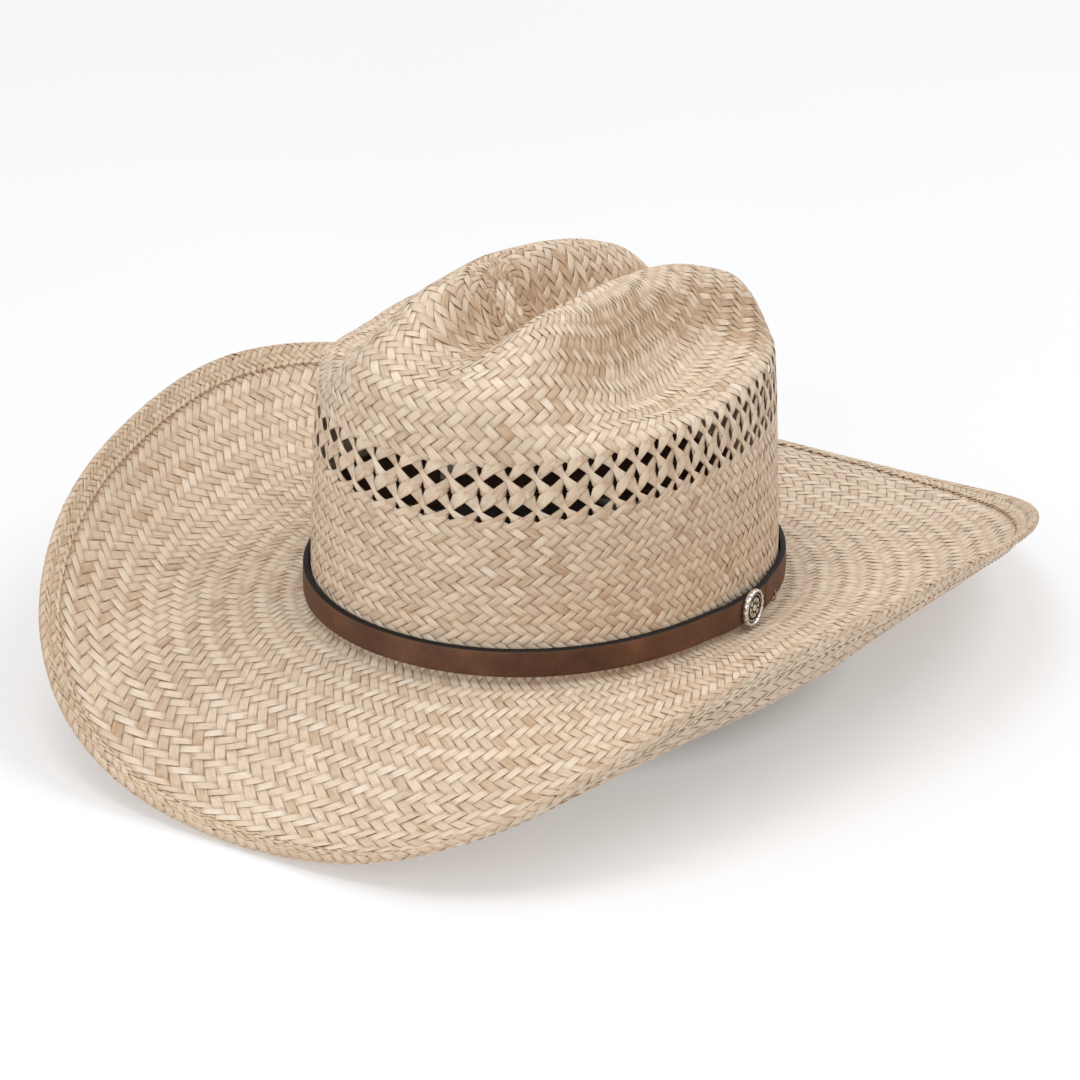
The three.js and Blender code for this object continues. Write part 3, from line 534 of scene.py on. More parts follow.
band_mat = leather_material("band_leather", srgb(100, 67, 47), srgb(76, 49, 34), srgb(126, 88, 63), "edge", 0.56)
sweat_mat = leather_material("sweat_leather", srgb(84, 56, 40), srgb(60, 39, 27), srgb(104, 74, 54), None, 0.6, 700.0)
tape_mat = leather_material("tape_leather", srgb(74, 50, 36), srgb(52, 34, 24), srgb(94, 66, 48), None, 0.6, 1100.0)


def cloth_material(name, c1, c2, scale=1500.0, rough=0.6):
    M = Mat(name)
    co = M.coords()
    w1 = M.n("ShaderNodeTexWave", wave_type="BANDS", bands_direction="Z", ins={"Vector": co, "Scale": scale, "Distortion": 0.6, "Detail": 1.0})
    w2 = M.n("ShaderNodeTexWave", wave_type="BANDS", bands_direction="DIAGONAL", ins={"Vector": co, "Scale": scale, "Distortion": 0.5})
    s = M.math("MULTIPLY", M.math("ADD", w1.outputs["Fac"], w2.outputs["Fac"]), 0.5)
    base = M.ramp(M.math("ADD", M.math("MULTIPLY", s, 0.6), M.math("MULTIPLY", M.noise(co, 120.0), 0.4)), [(0.2, c2), (0.7, c1)])
    M.bump(s, 0.35, 0.0002)
    return M.set(Base_Color=base, Roughness=rough, Sheen_Weight=0.25)


thread_mat = cloth_material("tan_thread", srgb(188, 146, 96), srgb(132, 92, 54), 2600.0)
dark_thread_mat = cloth_material("brown_thread", srgb(186, 144, 102), srgb(142, 100, 64), 2600.0)
ribbon_mat = cloth_material("satin_ribbon", srgb(66, 42, 30), srgb(38, 23, 16), 1800.0, 0.4)
reed_mat = cloth_material("reed_cover", srgb(84, 58, 42), srgb(52, 34, 24), 2200.0, 0.5)
label_mat = cloth_material("woven_label", srgb(232, 226, 212), srgb(206, 198, 182), 2400.0, 0.7)


def metal_material(name, light, dark, cavity=None, rough=0.24):
    M = Mat(name)
    co = M.coords()
    n = M.noise(co, 420.0, 4.0, 0.6)
    scr = M.noise(M.n("ShaderNodeMapping", ins={"Vector": co, "Scale": (1, 1, 9.0)}).outputs[0], 700.0, 2.0, 0.5)
    base = M.ramp(n, [(0.3, dark), (0.6, light)])
    r = M.map(scr, 0.35, 0.65, rough - 0.05, rough + 0.12)
    if cavity:
        c = M.attr(cavity)
        cn = M.math("ADD", c, M.math("MULTIPLY", M.math("SUBTRACT", n, 0.5), 0.5))
        k = M.map(cn, 0.86, 0.48)
        base = M.mix(k, base, srgb(30, 24, 20))
        r = M.math("ADD", r, M.math("MULTIPLY", k, 0.35), clamp=True)
        M.set(Metallic=M.map(k, 0.0, 1.0, 1.0, 0.55))
    else:
        M.set(Metallic=1.0)
    M.bump(n, 0.12, 0.0002)
    return M.set(Base_Color=base, Roughness=r)


silver_mat = metal_material("antique_silver", srgb(246, 244, 238), srgb(226, 222, 214), "cavity", 0.22)
steel_mat = metal_material("drawn_steel", srgb(160, 162, 164), srgb(120, 122, 124))

# ------------------------------------------------------------------ straw shell
VG = np.array([13.5, 15.2, 15.6, 16.0, 16.45, 17.0, 17.5, 18.0, 18.5, 19.0, 19.55, 20.0, 20.4, 20.8, 22.5])
VY = np.array([0.00, 0.00, 0.06, 0.20, 0.57, 0.74, 0.50, 0.16, 0.50, 0.74, 0.57, 0.20, 0.06, 0.00, 0.00])
vent_gap = lambda g: np.interp(g, VG, VY)


def dent_shade_and_wear(P):
    """How much a point of the crown lies in the crease or on the upper slope of a side dent, where the straw is painted
    darker: partly painted shade, stronger on one side, and partly darker straw from handling; the start of the weave is
    also a little browner.
    """
    x, y, z = P[..., 0], P[..., 1], P[..., 2]
    d = ridge_z(y) - z
    inside = (1 - smooth((np.abs(x) - ridge_x(y)) / 8)) * np.clip(crease(y) / 15, 0, 1)
    outer = (1 - smooth((d - 16) / 14)) * smooth((np.abs(x) - ridge_x(y)) / 8 + 0.5) * (0.15 + 0.85 * smooth((y + 88) / 50))
    start = np.exp(-((x - WEAVE_START[0]) ** 2 + (y - WEAVE_START[1]) ** 2) / 24.0 ** 2) * smooth((z - 60) / 20)
    return smooth(d / 10) * np.maximum(inside * smooth((z - 60) / 20), outer) * 0.42 * (0.85 + 0.3 * smooth((x + 20) / 60)) + 0.26 * start


crown_objs = []
# painted shade: the crown's crease and side dents are painted darker, partly as shade and partly as handling wear
for fam in (0, 1):
    for part, (s0, s1) in enumerate(((0, 60), (60, 120))):
        # painted sheen: the second family of crown strips is painted darker than the first
        V, Q, A = weave(CROWN, 120, fam, -0.9, G_B0 + (0.9 if fam == 0 else -0.2), range(s0, s1), gamma=vent_gap,
                        alt=0.25 if fam == 0 else 0.05, seed=11 + part, painted_sheen=-0.04 if fam == 0 else 0.16, shade_and_wear=dent_shade_and_wear)
        crown_objs.append(("crown_weave_%s%d" % ("ab"[fam], part + 1), V, Q, A))
    V, Q, A = weave(CROWN1, 60, fam, 1.3 if fam == 0 else 0.3, 7.25 + (0.9 if fam == 0 else -0.2), range(60), alt=0.15, seed=21, wobble=0.05, shade_and_wear=dent_shade_and_wear)
    crown_objs.append(("crown_weave_mid_%s" % "ab"[fam], V, Q, A))
    V, Q, A = weave(CROWN2, 30, fam, 1.3 if fam == 0 else 0.3, 5.6, range(30), alt=0.15, seed=23, wobble=0.08, end_drop=0.3, shade_and_wear=dent_shade_and_wear)
    crown_objs.append(("crown_weave_top_%s" % "ab"[fam], V, Q, A))
for fam in (0, 1):
    for part, (s0, s1) in enumerate(((0, 90), (90, 180))):
        # painted sheen: the second family of brim strips is painted darker than the first
        V, Q, A = weave(BRIM, 180, fam, 0.0, G_BRIM, range(s0, s1), phase=0.0, alt=0.12 if fam == 0 else 0.0, seed=41 + part,
                        mm_q=3.7, painted_sheen=-0.08 if fam == 0 else 0.22)
        crown_objs.append(("brim_weave_%s%d" % ("ab"[fam], part + 1), V, Q, A))

# square start of the weave at the middle of the crown
def start_patch():
    pitch, R = 3.6, 11.5
    c0, s0 = math.cos(0.5), math.sin(0.5)
    n = int(R // pitch) + 1
    Vs, Qs, at_ = [], [], {k: [] for k in ("s_id", "s_a", "s_l", "s_t", "s_d", "s_g")}
    base = 0
    C = len(SECT)
    r = np.random.default_rng(5)
    for fam in (0, 1):
        for i in range(-n, n):
            mid_ = (i + 0.5) * pitch
            if abs(mid_) > R - 1:
                continue
            L = math.sqrt(R * R - mid_ * mid_)
            t = np.arange(-L, L, pitch / 4)
            if len(t) < 4:
                continue
            q = t / pitch
            over = np.sin(np.pi * (q + (i % 2))) * (1 if fam == 0 else -1)
            over = np.clip(over * 1.5, -1, 1)
            w = pitch * 0.47
            X = mid_ + SECT[:, 0][None] * w + np.zeros((len(t), 1))
            Y = t[:, None] + np.zeros((1, C))
            if fam:
                X, Y = Y, X
            x = WEAVE_START[0] + c0 * X - s0 * Y
            y = WEAVE_START[1] + s0 * X + c0 * Y
            z = crown_top(x, y)
            e = 0.2
            nx = -(crown_top(x + e, y) - crown_top(x - e, y)) / (2 * e)
            ny = -(crown_top(x, y + e) - crown_top(x, y - e)) / (2 * e)
            nn = unit(np.stack([nx, ny, np.ones_like(nx)], -1))
            rr = np.hypot(X, Y)
            off = over[:, None] * 0.3 + SECT[:, 1][None] - 1.0 - 0.4 * smooth((rr - 6) / 4)
            V = np.stack([x, y, z], -1) + nn * off[..., None]
            k = len(t)
            Vs.append(V.reshape(-1, 3))
            Qs.append(tube_quads(k, C, base=base))
            for e_, fl in ((base, 0), (base + (k - 1) * C, 1)):
                caps = np.array([[e_ + 0, e_ + 1, e_ + 5, e_ + 6], [e_ + 1, e_ + 2, e_ + 3, e_ + 5]])
                Qs.append(caps if fl else caps[:, ::-1])
            base += k * C
            sid, tone = r.random(), r.random()
            one = np.ones((k, C))
            for key, val in (("s_id", one * sid), ("s_a", one * SECT[:, 0][None]), ("s_l", one * t[:, None]),
                             ("s_t", one * tone), ("s_d", one * over[:, None]), ("s_g", one)):
                at_[key].append(val.ravel())
    return np.concatenate(Vs), np.concatenate(Qs), {k: np.concatenate(v) for k, v in at_.items()}


V, Q, A = start_patch()
crown_objs.append(("crown_weave_start", V, Q, A))
first = True
for name, V, Q, A in crown_objs:
    add_mesh(name, V, Q, A, straw_mat, "hat", ("straw_body",))

# ------------------------------------------------------------------ edge binding
NB = 720
PB = np.arange(NB) * 2 * np.pi / NB
prof = brim_profile(PB)
ps = arc_lengths(prof)
WK = np.array([0, 2.5, 5, 7.5, 10, 12.5])
EP = resample(prof, ps, ps[:, -1:] - WK[None])
side = unit(edge_at(PB + 0.01) - edge_at(PB - 0.01))
EN = np.empty_like(EP)
for k in range(6):
    T = unit(EP[:, max(0, k - 1)] - EP[:, min(5, k + 1)])
    n = unit(np.cross(T, side))
    EN[:, k] = n * np.where(n[:, 2:3] < 0, -1, 1)


def edge_point(idx, w, h):
    """Points at ring samples idx (float, in units of the 720 samples), w in from the edge, h from the middle of the brim."""
    idx, w, h = np.broadcast_arrays(np.asarray(idx, float), np.asarray(w, float), np.asarray(h, float))
    i = np.floor(idx).astype(int)
    f = (idx - i)[..., None]
    i0, i1 = i % NB, (i + 1) % NB
    k = np.clip(np.floor(w / 2.5).astype(int), 0, 4)
    t = (w / 2.5 - k)[..., None]
    def get(A):
        return (A[i0, k] * (1 - f) + A[i1, k] * f) * (1 - t) + (A[i0, k + 1] * (1 - f) + A[i1, k + 1] * f) * t
    return get(EP) + unit(get(EN)) * (h - 0.75)[..., None]


def binding_path(r_mid, flat):
    pts = [(11.4, flat - 0.22), (10.4, flat - 0.02), (8.4, flat), (5.6, flat), (3.6, flat + 0.45 * (r_mid - flat))]
    for a in np.radians(np.linspace(80, -80, 13)):
        pts.append((2.2 - r_mid * 1.15 * math.cos(a), r_mid * math.sin(a)))
    pts += [(3.6, -flat - 0.45 * (r_mid - flat)), (5.6, -flat), (8.4, -flat), (10.4, -flat + 0.02), (11.4, -flat + 0.22)]
    P = np.array(pts)
    s = np.concatenate([[0], np.cumsum(np.hypot(*np.diff(P, axis=0).T))])
    return P, s


bpath, bsl = binding_path(1.34, 0.80)
GB = 8
gq = np.arange(0, GB + 0.26, 0.25)
bw = np.interp(np.minimum(gq / GB, 1) * bsl[-1], bsl, bpath[:, 0])
bh = np.interp(np.minimum(gq / GB, 1) * bsl[-1], bsl, bpath[:, 1])
BP = edge_point(np.arange(NB)[:, None], bw[None], bh[None])
BC = edge_point(np.arange(NB)[:, None], np.full((1, len(gq)), 4.5), np.zeros((1, len(gq))))
BIND = Sheet(BP, 0, 0.25, BP - BC)
for fam in (0, 1):
    V, Q, A = weave(BIND, 280, fam, 0.0, GB, range(0, 280), phase=0.0, half=0.49, h=0.16, thick=0.8, mid_off=0.0, seed=61, mm_q=2.0, wobble=0.09)
    add_mesh("edge_binding_%s" % "ab"[fam], V, Q, A, bind_mat, "hat", ("edge_binding",))


def stitches(name, place, n, length, r, mat, nodes, sink=0.45, sides=6, fill=0.72):
    """n short stitches: place(t, lift) gives the point at fraction t of the seam, lift above it, and the unit up."""
    steps = np.array([-0.5, -0.42, -0.25, 0, 0.25, 0.42, 0.5])
    lifts = np.array([-sink, -0.05, 0.1, 0.14, 0.1, -0.05, -sink])
    k, m = len(steps), sides
    tt = (np.arange(n)[:, None] + 0.5 + steps[None] * fill) / n
    P, U, X = place(tt)
    P = P + U * lifts[None, :, None]
    D = unit(np.gradient(P, axis=1))
    S = unit(np.cross(D, U))
    U2 = np.cross(S, D)
    ang = np.arange(m) * 2 * np.pi / m
    rad_ = r * np.array([0.55, 0.95, 1.0, 1.05, 1.0, 0.95, 0.55])
    V = (P[:, :, None] + rad_[None, :, None, None] * (np.cos(ang)[None, None, :, None] * S[:, :, None] + np.sin(ang)[None, None, :, None] * U2[:, :, None]))
    one = tube_quads(k, m)
    Q = (one[None] + (np.arange(n) * k * m)[:, None, None]).reshape(-1, 4)
    caps = []
    for e, fl in ((0, 1), ((k - 1) * m, 0)):
        c = [[e + 0, e + 1, e + 2, e + 3], [e + 0, e + 3, e + 4, e + 5]]
        caps += [x[::-1] for x in c] if fl else c
    caps = (np.array(caps)[None] + (np.arange(n) * k * m)[:, None, None]).reshape(-1, 4)
    return add_mesh(name, V.reshape(-1, 3), np.concatenate([Q, caps]), None, mat, "hat", nodes)


def edge_seam(sign):
    def place(t):
        idx = t * NB
        P = edge_point(idx, 10.0, sign * 1.04)
        Q2 = edge_point(idx, 10.0, sign * 2.04)
        return P, unit(Q2 - P), None
    return place


stitches("binding_stitch_top_v", edge_seam(1), 300, 3.0, 0.19, dark_thread_mat, ("binding_stitch_top",))
stitches("binding_stitch_under_v", edge_seam(-1), 300, 3.0, 0.19, dark_thread_mat, ("binding_stitch_under",))

# ------------------------------------------------------------------ hatband
CON_ANG, LAP = 92.5, 9.0


def band():
    degs, a_, b_ = [], [], []
    def push(d, a, b):
        degs.append(d); a_.append(a); b_.append(b)
    s0, s1 = CON_ANG - LAP, CON_ANG + LAP
    for d in np.arange(s0, s1 + 0.01, 1.0):
        push(d, 0.0, 1.0)
    for d in np.arange(s1 + 0.8, s0 + 360 - 0.7, 1.0):
        push(d, 0.0, 2.3)
    for d in np.arange(s0 + 360, s1 + 360 + 0.01, 1.0):
        push(d, 1.3, 2.3)
    degs, a_, b_ = map(np.array, (degs, a_, b_))
    phi = np.radians(degs)
    dd = np.abs(((degs - CON_ANG + 540) % 360) - 180)
    lift = 0.9 * (1 - smooth((dd - LAP) / 9))
    lo, hi = 0.4 + a_ + lift, 0.4 + b_ + lift
    H = 10.8
    prof_ = [(0.06, 0.0), (0.0, 0.25), (0.05, 0.6), (0.22, 0.86), (0.5, 1.0), (1.6, 1.0), (3.6, 1.03), (5.4, 1.04), (7.2, 1.03), (9.2, 1.0), (10.3, 1.0), (10.58, 0.86), (10.75, 0.6), (10.8, 0.25), (10.74, 0.0), (5.4, 0.0)]
    rows, ed = [], []
    for h, f in prof_:
        wav = 0.05 * np.sin(degs * 0.23 + h)
        rows.append(wall_at(phi, np.full_like(phi, h), lo + (hi - lo) * f + wav * (f > 0)))
        ed.append(np.full(len(phi), max(smooth((h - 10.0) / 0.6), 0.8 * smooth((0.7 - h) / 0.5), 0.9 if f < 0.5 else 0)))
    V = np.stack(rows, 1)
    E = np.stack(ed, 1)
    n, m = V.shape[:2]
    Q = [tube_quads(n, m)]
    for e, fl in ((0, 0), ((n - 1) * m, 1)):
        for k in range(7):
            c = [e + k, e + k + 1, e + 14 - k - 1, e + 14 - k] if k < 6 else None
            if c:
                Q.append(np.array([c if fl else c[::-1]]))
    return V.reshape(-1, 3), np.concatenate(Q), E.ravel()


V, Q, E = band()
add_mesh("hatband", V, Q, {"edge": E}, band_mat, "hat", ("hatband_strap",))


def swept(name, path, normal, r, mat, nodes, slot, m=8, taper=True):
    """A round cord through path (k, 3)."""
    k = len(path)
    D = unit(np.gradient(path, axis=0))
    S = unit(np.cross(D, normal))
    U = np.cross(S, D)
    ang = np.arange(m) * 2 * np.pi / m
    rr = np.full(k, r)
    if taper:
        rr[0] = rr[-1] = r * 0.5
    V = path[:, None] + rr[:, None, None] * (np.cos(ang)[None, :, None] * S[:, None] + np.sin(ang)[None, :, None] * U[:, None])
    Q = [tube_quads(k, m)]
    for e, fl in ((0, 0), ((k - 1) * m, 1)):
        for j in range(1, m // 2):
            c = [e, e + 2 * j - 1, e + 2 * j, e + 2 * j + 1]
            Q.append(np.array([c if fl else c[::-1]]))
    return V.reshape(-1, 3), np.concatenate(Q)


def wall_frame(deg, h):
    p = np.array([math.radians(deg)])
    P, A_, B_ = wall_at(p, h)[0], wall_at(p - 0.01, h)[0], wall_at(p + 0.01, h)[0]
    t = B_ - A_
    t[2] = 0
    t = unit(t)
    n = np.array([t[1], -t[0], 0.0])
    if n @ P < 0:
        n = -n
    return P, t, n


for nm, deg in (("left", CON_ANG + 19), ("right", -90), ("back", 180)):
    P, t, n = wall_frame(deg, 0.0)
    Vs, Qs, base = [], [], 0
    for k, dx in enumerate((-0.42, 0.0, 0.42)):
        pts = np.array([(2.2, 3.1 + 0.2 * k), (2.95, 2.5), (3.15, 1.2), (3.12, 0.0), (2.85, -0.9), (2.3, -1.3), (1.5, -1.45)])
        path = P + n * pts[:, :1] + np.array([0, 0, 1.0]) * pts[:, 1:] + t * (dx + 0.06 * np.sin(pts[:, 1:] * 2 + k))
        v, q = swept("", path, t, 0.21, None, (), None, 6)
        Vs.append(v); Qs.append(q + base); base += len(v)
    add_mesh("hatband_tack_%s_v" % nm, np.concatenate(Vs), np.concatenate(Qs), None, dark_thread_mat, "hat", ("hatband_tack_%s" % nm,))

# ------------------------------------------------------------------ concho
cP, cT, cN = wall_frame(CON_ANG, 5.8)
cZ = np.array([0, 0, 1.0])


def concho():
    nt = 256
    th = np.arange(nt) * 2 * np.pi / nt
    R = 7.2
    rad_out = R - 0.3 * (0.5 - 0.5 * np.cos(16 * th)) ** 1.4
    fr = np.array([0.0, 0.35, 0.7, 1.0, 1.2, 1.35, 1.6, 1.9, 2.2, 2.6, 3.0, 3.4, 3.8, 4.15, 4.4, 4.55, 4.7, 4.85, 5.0, 5.2, 5.4, 5.55, 5.65, 5.8, 5.95, 6.1, 6.25, 6.4, 6.6, 6.8, 6.95, 7.08, 7.16, 7.2])
    rows, cav = [], []
    for r in fr[1:]:
        z = np.full(nt, 5.15)
        if r <= 1.35:
            z = z + 0.35 + 0.62 * math.sqrt(max(0, 1 - (r / 1.36) ** 2))
        elif r <= 4.6:
            s = (r - 1.35) / 3.2
            pet = np.abs(np.cos(4 * th)) ** 0.8 * math.sin(math.pi * min(1, s)) ** 0.6
            vein = 0.25 * np.exp(-((np.sin(8 * th / 2) / 0.22) ** 2)) * math.sin(math.pi * min(1, s))
            inner = np.abs(np.sin(4 * th)) ** 3 * math.exp(-(((r - 3.6) / 0.5) ** 2)) * 0.4
            z = z + 0.72 * pet - vein * 0.8 * (pet > 0.3) + inner
        elif r <= 5.65:
            s = (r - 4.6) / 1.05
            rope = 0.5 + 0.5 * np.sin(36 * th + 5.0 * s)
            z = z + (0.18 + 0.5 * rope) * math.sin(math.pi * min(1, s)) ** 0.7
        elif r <= 6.0:
            z = z + 0.05
        else:
            s = (r - 6.0) / 1.2
            lobe = 0.5 - 0.5 * np.cos(16 * th)
            z = z + 1.02 * min(1, s / 0.3) - 0.55 * max(0, (s - 0.55) / 0.45) ** 2 - 0.26 * lobe * s
        rr = r * (rad_out / R) if r > 6.0 else np.full(nt, r)
        rows.append(np.stack([rr * np.cos(th), rr * np.sin(th), z], -1))
        cav.append(np.clip((z - 5.15) / 0.75, 0, 1.2) if r < 6.0 else np.clip((z - 5.15) / 0.4, 0, 1.3))
    for r, z in ((1.0, 4.9), (1.0, 4.4), (0.985, 4.05), (0.95, 3.9)):
        rr = rad_out * r
        rows.append(np.stack([rr * np.cos(th), rr * np.sin(th), np.full(nt, z)], -1))
        cav.append(np.full(nt, 0.8))
    for r, z in ((2.4, 3.9), (2.4, 1.3), (1.6, 1.3), (1.6, 4.5)):
        rows.append(np.stack([r * np.cos(th), r * np.sin(th), np.full(nt, z)], -1))
        cav.append(np.full(nt, 0.8))
    V = np.stack(rows, 0)
    n = len(rows)
    V2 = np.concatenate([V.reshape(-1, 3), [[0, 0, 5.15 + 0.97], [0, 0, 4.5]]])
    C2 = np.concatenate([np.concatenate(cav), [1.0, 0.5]])
    Q = tube_quads(n, nt)
    j = np.arange(nt)
    T1 = np.stack([np.full(nt, n * nt), (j + 1) % nt, j], -1)
    e = (n - 1) * nt
    T2 = np.stack([np.full(nt, n * nt + 1), e + j, e + (j + 1) % nt], -1)
    W = cP + V2[:, :1] * cT + V2[:, 1:2] * cZ + V2[:, 2:] * cN
    return W, Q, np.concatenate([T1, T2]), C2


W, Q, T, C2 = concho()
add_mesh("concho_face", W, Q, {"cavity": C2}, silver_mat, "concho", ("concho_disc",), T=T)

# ------------------------------------------------------------------ sweatband and its trim
def ring_piece(name, degs, prof_, mat, nodes, closed=False, wav=0.0, seed=3):
    phi = np.radians(np.asarray(degs, float))
    rows = []
    for h, o in prof_:
        d = wav * (np.sin(7 * phi + 1.3) * 0.5 + np.sin(17 * phi + h * 0.2) * 0.3 + np.sin(31 * phi) * 0.2) * (h / 30.0)
        rows.append(wall_at(phi, np.full_like(phi, h), o + d))
    V = np.stack(rows, 1)
    n, m = V.shape[:2]
    Q = [tube_quads(n, m, closed)]
    if not closed:
        for e, fl in ((0, 0), ((n - 1) * m, 1)):
            for k in range(m // 2 - 1):
                c = [e + k, e + k + 1, e + m - 2 - k, e + m - 1 - k]
                Q.append(np.array([c if fl else c[::-1]]))
    return add_mesh(name, V.reshape(-1, 3), np.concatenate(Q), None, mat, "hat", nodes)


sw = [(-0.4, -2.1), (5, -1.98), (12, -1.98), (20, -1.98), (28, -2.0), (29.7, -2.15), (30.1, -2.45),
      (29.7, -2.8), (28, -2.98), (20, -3.02), (12, -3.02), (5, -3.0), (1.0, -2.98), (-0.4, -2.85)]
ring_piece("sweatband_v", np.linspace(-179.8, 179.8, 541), sw, sweat_mat, ("sweatband",), wav=0.12)

def sweat_seam(t):
    phi = t * 2 * np.pi
    P = wall_at(phi, np.full_like(phi, 3.2), -3.3)
    P2 = wall_at(phi, np.full_like(phi, 3.2), -4.3)
    return P, unit(P2 - P), None


stitches("sweatband_stitch_v", sweat_seam, 190, 2.4, 0.2, thread_mat, ("sweatband_stitch",), sink=0.3)

# reed: a cord wrapped with narrow bias tape
nr, mr = 1200, 10
ph = np.arange(nr) * 2 * np.pi / nr
rows = []
for i in range(mr):
    a = 2 * np.pi * i / mr
    rr = 0.86 + 0.07 * np.sin(300 * ph + a)
    P = wall_at(ph, np.zeros(nr), -2.65 + rr * np.cos(a))
    P[:, 2] += -1.95 + rr * np.sin(a)
    rows.append(P)
V = np.stack(rows, 1)
add_mesh("sweatband_reed_v", V.reshape(-1, 3), tube_quads(nr, mr, True), None, reed_mat, "hat", ("sweatband_reed",))

tape = [(4.6, -3.32), (10, -3.32), (20, -3.32), (28.3, -3.32), (28.5, -3.5), (28.3, -3.76), (20, -3.8), (10, -3.8), (5, -3.78), (4.6, -3.6)]
ring_piece("sweatband_seam_tape_v", np.linspace(176.4, 183.6, 25), tape, tape_mat, ("sweatband_seam_tape",))
lab = [(11, -3.32), (14, -3.32), (19, -3.32), (21.9, -3.32), (22.05, -3.45), (21.9, -3.6), (19, -3.66), (14, -3.66), (11.1, -3.6), (10.95, -3.45)]
ring_piece("size_label_v", np.linspace(-126, -114, 41), lab, label_mat, ("size_label",))


def ribbon(path, width_dir, width, thick=0.35):
    """A flat ribbon along path; width may change along it."""
    k = len(path)
    D = unit(np.gradient(path, axis=0))
    Wd = unit(width_dir - (width_dir * D).sum(1, keepdims=True) * D)
    Nn = unit(np.cross(D, Wd))
    cr = [(-1, -0.3), (-0.97, 0.4), (-0.4, 0.62), (0.4, 0.62), (0.97, 0.4), (1, -0.3), (0.4, -0.5), (-0.4, -0.5)]
    V = np.stack([path + Wd * (width / 2 * a)[:, None] + Nn * (thick * b) for a, b in cr], 1)
    m = len(cr)
    Q = [tube_quads(k, m)]
    for e, fl in ((0, 0), ((k - 1) * m, 1)):
        for j in range(3):
            c = [e + j, e + j + 1, e + m - 2 - j, e + m - 1 - j]
            Q.append(np.array([c if fl else c[::-1]]))
    return V.reshape(-1, 3), np.concatenate(Q)


bP, bT, bN = wall_frame(180, 12.0)
bO = bP + bN * (-3.0 - 0.8 - 2.1)
Vs, Qs, base = [], [], 0
def put(v, q):
    global base
    Vs.append(v); Qs.append(q + base); base += len(v)
for s in (-1, 1):
    t = np.linspace(0, 2 * np.pi, 41)
    r = 1 - np.cos(t)
    x = s * (0.9 + 5.7 * r)
    y = 0.85 * np.sin(t) * (0.5 + 0.5 * np.minimum(1, r))
    z = 0.4 + 0.5 * np.sin(t * 0.5) * s * s
    path = bO + np.outer(x, bT) + np.outer(y, bN) + np.outer(z, cZ)
    wid = 2.2 + 2.6 * (r / 2) ** 0.7
    put(*ribbon(path, np.tile(cZ, (41, 1)), wid, 0.22))
    t = np.linspace(0, 1, 21)
    x = s * (0.6 + 4.6 * t + 0.4 * np.sin(3 * t))
    z = -0.8 - 8.4 * t
    y = -0.25 + 0.35 * np.sin(5 * t + s)
    path = bO + np.outer(x, bT) + np.outer(y, bN) + np.outer(z, cZ)
    put(*ribbon(path, np.tile(bT, (21, 1)), np.full(21, 3.0) + 0.5 * t, 0.22))
t = np.linspace(0, 2 * np.pi, 33)[:-1]
knot = [bO + bT * (1.75 * math.cos(a) * 0.9) + bN * (1.25 * math.sin(a)) for a in t]
kr = []
for h_, sc in ((-1.9, 0.62), (-1.5, 0.9), (-0.6, 1.04), (0.4, 1.04), (1.3, 0.9), (1.8, 0.62)):
    kr.append(np.array([bO + bT * (1.6 * sc * math.cos(a)) + bN * (1.2 * sc * math.sin(a)) + cZ * (h_ + 0.2 * math.cos(2 * a)) for a in t]))
kv = np.stack(kr, 0)
kq = [tube_quads(6, 32)]
for e, fl in ((0, 0), (5 * 32, 1)):
    for j in range(1, 16):
        c = [e + j, e + j + 1, e + (32 - j - 1) % 32, e + (32 - j) % 32] if j < 15 else None
        if c and len(set(c)) == 4:
            kq.append(np.array([c if not fl else c[::-1]]))
put(kv.reshape(-1, 3), np.concatenate(kq))
add_mesh("sweatband_bow_v", np.concatenate(Vs), np.concatenate(Qs), None, ribbon_mat, "hat", ("sweatband_bow",))

# ------------------------------------------------------------------ CAD nodes that stay
for n_ in ("brim_wire", "wire_ferrule", "concho_screw"):
    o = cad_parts[n_]
    o.data.materials.clear()
    o.data.materials.append(steel_mat)

# ------------------------------------------------------------------ floor, light, camera
def floor_material():
    M = Mat("floor")
    co = M.coords()
    n = M.noise(co, 3.0, 2.0, 0.5)
    pale = M.ramp(n, [(0.3, (0.615, 0.62, 0.63)), (0.7, (0.635, 0.64, 0.65))])
    # painted shadow: the patch of floor seen through the vents is painted near black, as it gets next to no light
    off = M.n("ShaderNodeVectorMath", operation="ADD", ins={0: co, 1: (0.060, -0.078, 0.0)}).outputs["Vector"]
    d = M.n("ShaderNodeVectorMath", operation="LENGTH", ins={0: off}).outputs["Value"]
    dark = M.map(d, 0.092, 0.040)
    under = M.map(M.n("ShaderNodeVectorMath", operation="LENGTH", ins={0: co}).outputs["Value"], 0.078, 0.118)
    painted_glow = M.math("MULTIPLY", M.math("MULTIPLY", M.math("SUBTRACT", 1.0, dark), under), 0.33)  # painted light: the floor glows like a back-lit white table to lift its shadows; the glow is masked off under the hat, a painted shadow there
    # seen from below the table is clear, so that the underside of the hat can be looked at
    side = M.math("SUBTRACT", 1.0, M.n("ShaderNodeNewGeometry").outputs["Backfacing"])
    return M.set(Base_Color=M.mix(dark, pale, (0.055, 0.05, 0.045, 1)), Roughness=0.9, Specular_IOR_Level=0.1,
                 Emission_Color=(1, 1, 1, 1), Emission_Strength=M.math("MULTIPLY", painted_glow, side), Alpha=side)


me = bpy.data.meshes.new("floor")
s = 6.0
me.from_pydata([(-s, -s, 0), (s, -s, 0), (s, s, 0), (-s, s, 0)], [], [(0, 1, 2, 3)])
fl = bpy.data.objects.new("floor", me)
fl.location.z = 0.0008
me.materials.append(floor_material())
bpy.context.scene.collection.objects.link(fl)

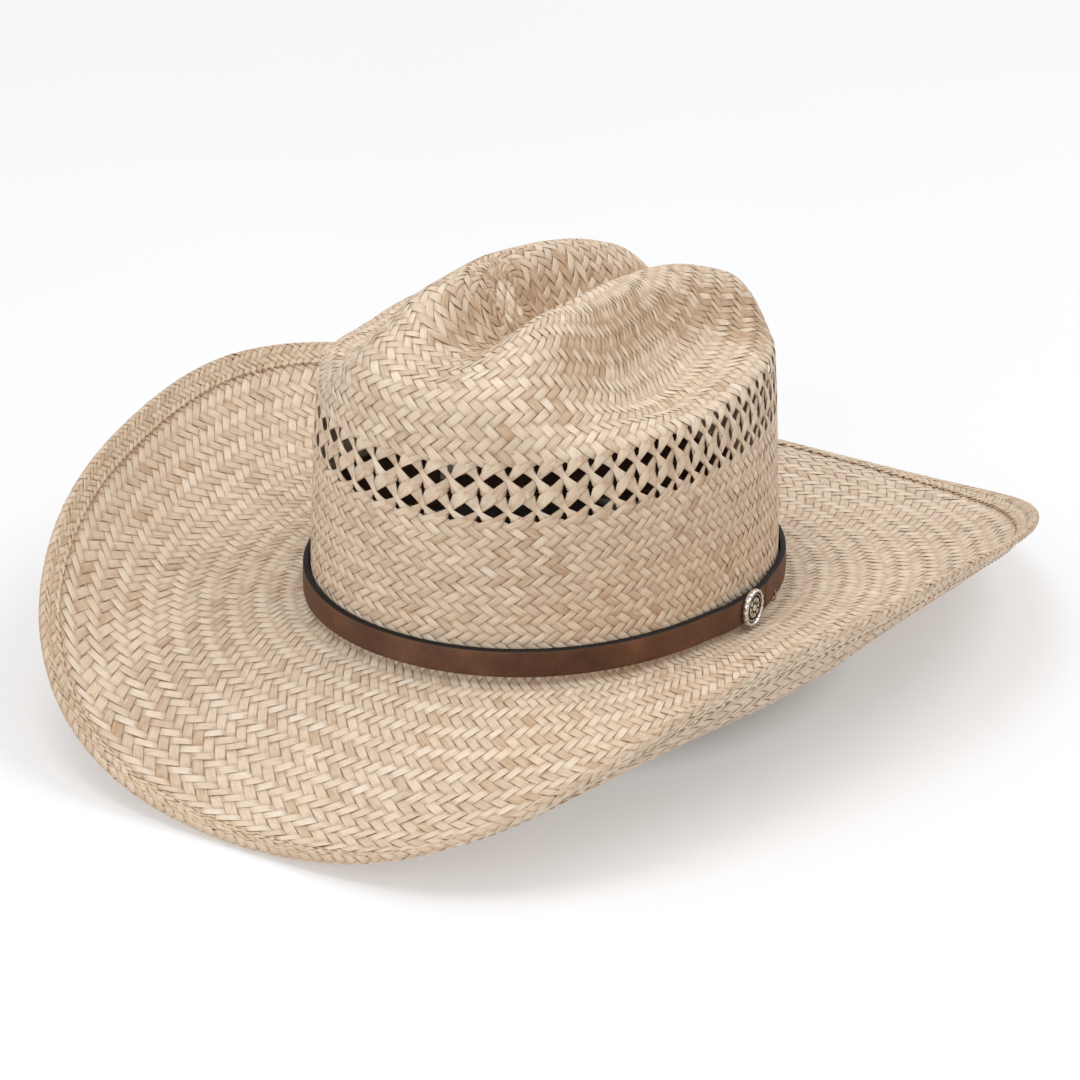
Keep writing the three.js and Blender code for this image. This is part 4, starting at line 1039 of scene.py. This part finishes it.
WORLD_LOW, WORLD_HIGH, KEY, FILL, SIDE = 0.38, 0.66, 9.5, 8, 12
bpy.context.scene.view_settings.view_transform = "Standard"
world = bpy.data.worlds.new("studio")
bpy.context.scene.world = world
world.use_nodes = True
wt = world.node_tree
bg = wt.nodes["Background"]
tc = wt.nodes.new("ShaderNodeTexCoord")
sx = wt.nodes.new("ShaderNodeSeparateXYZ")
mr = wt.nodes.new("ShaderNodeMapRange")
wt.links.new(tc.outputs["Generated"], sx.inputs[0])
wt.links.new(sx.outputs["Z"], mr.inputs["Value"])
for k_, v_ in (("From Min", -0.05), ("From Max", 0.75), ("To Min", WORLD_LOW), ("To Max", WORLD_HIGH)):
    mr.inputs[k_].default_value = v_
wt.links.new(mr.outputs["Result"], bg.inputs["Strength"])
bg.inputs["Color"].default_value = (1, 1, 1, 1)


def area(name, loc, target, size, power):
    li = bpy.data.lights.new(name, "AREA")
    li.shape = "DISK"
    li.size = size
    li.energy = power
    ob = bpy.data.objects.new(name, li)
    bpy.context.scene.collection.objects.link(ob)
    from mathutils import Vector
    d = Vector(target) - Vector(loc)
    ob.location = loc
    ob.rotation_euler = d.to_track_quat("-Z", "Y").to_euler()
    return ob


area("key", (-0.05, -0.45, 2.0), (0, 0, 0.05), 1.0, KEY)
area("fill", (0.2, -1.9, 0.8), (0, 0, 0.05), 1.5, FILL)
area("side", (0.9, 0.7, 1.8), (-0.05, -0.05, 0.05), 1.2, SIDE)

cam_data = bpy.data.cameras.new("camera")
cam = bpy.data.objects.new("camera", cam_data)
bpy.context.scene.collection.objects.link(cam)
bpy.context.scene.camera = cam
az, el, roll = math.radians(32.745), math.radians(24.892), math.radians(0.2439)
back = np.array([math.sin(az) * math.cos(el), -math.cos(az) * math.cos(el), math.sin(el)])
right = np.array([math.cos(az), math.sin(az), 0.0])
up = np.cross(back, right)
r2 = right * math.cos(roll) + up * math.sin(roll)
u2 = -right * math.sin(roll) + up * math.cos(roll)
C = (np.array([957.92, -1497.73, 839.24]) + ORIGIN) / 1000
m4 = np.eye(4)
m4[:3, 0], m4[:3, 1], m4[:3, 2], m4[:3, 3] = r2, u2, back, C
cam.matrix_world = Matrix(m4.tolist())
cam_data.sensor_width = 36.0
cam_data.lens = 170.67
cam_data.clip_end = 50
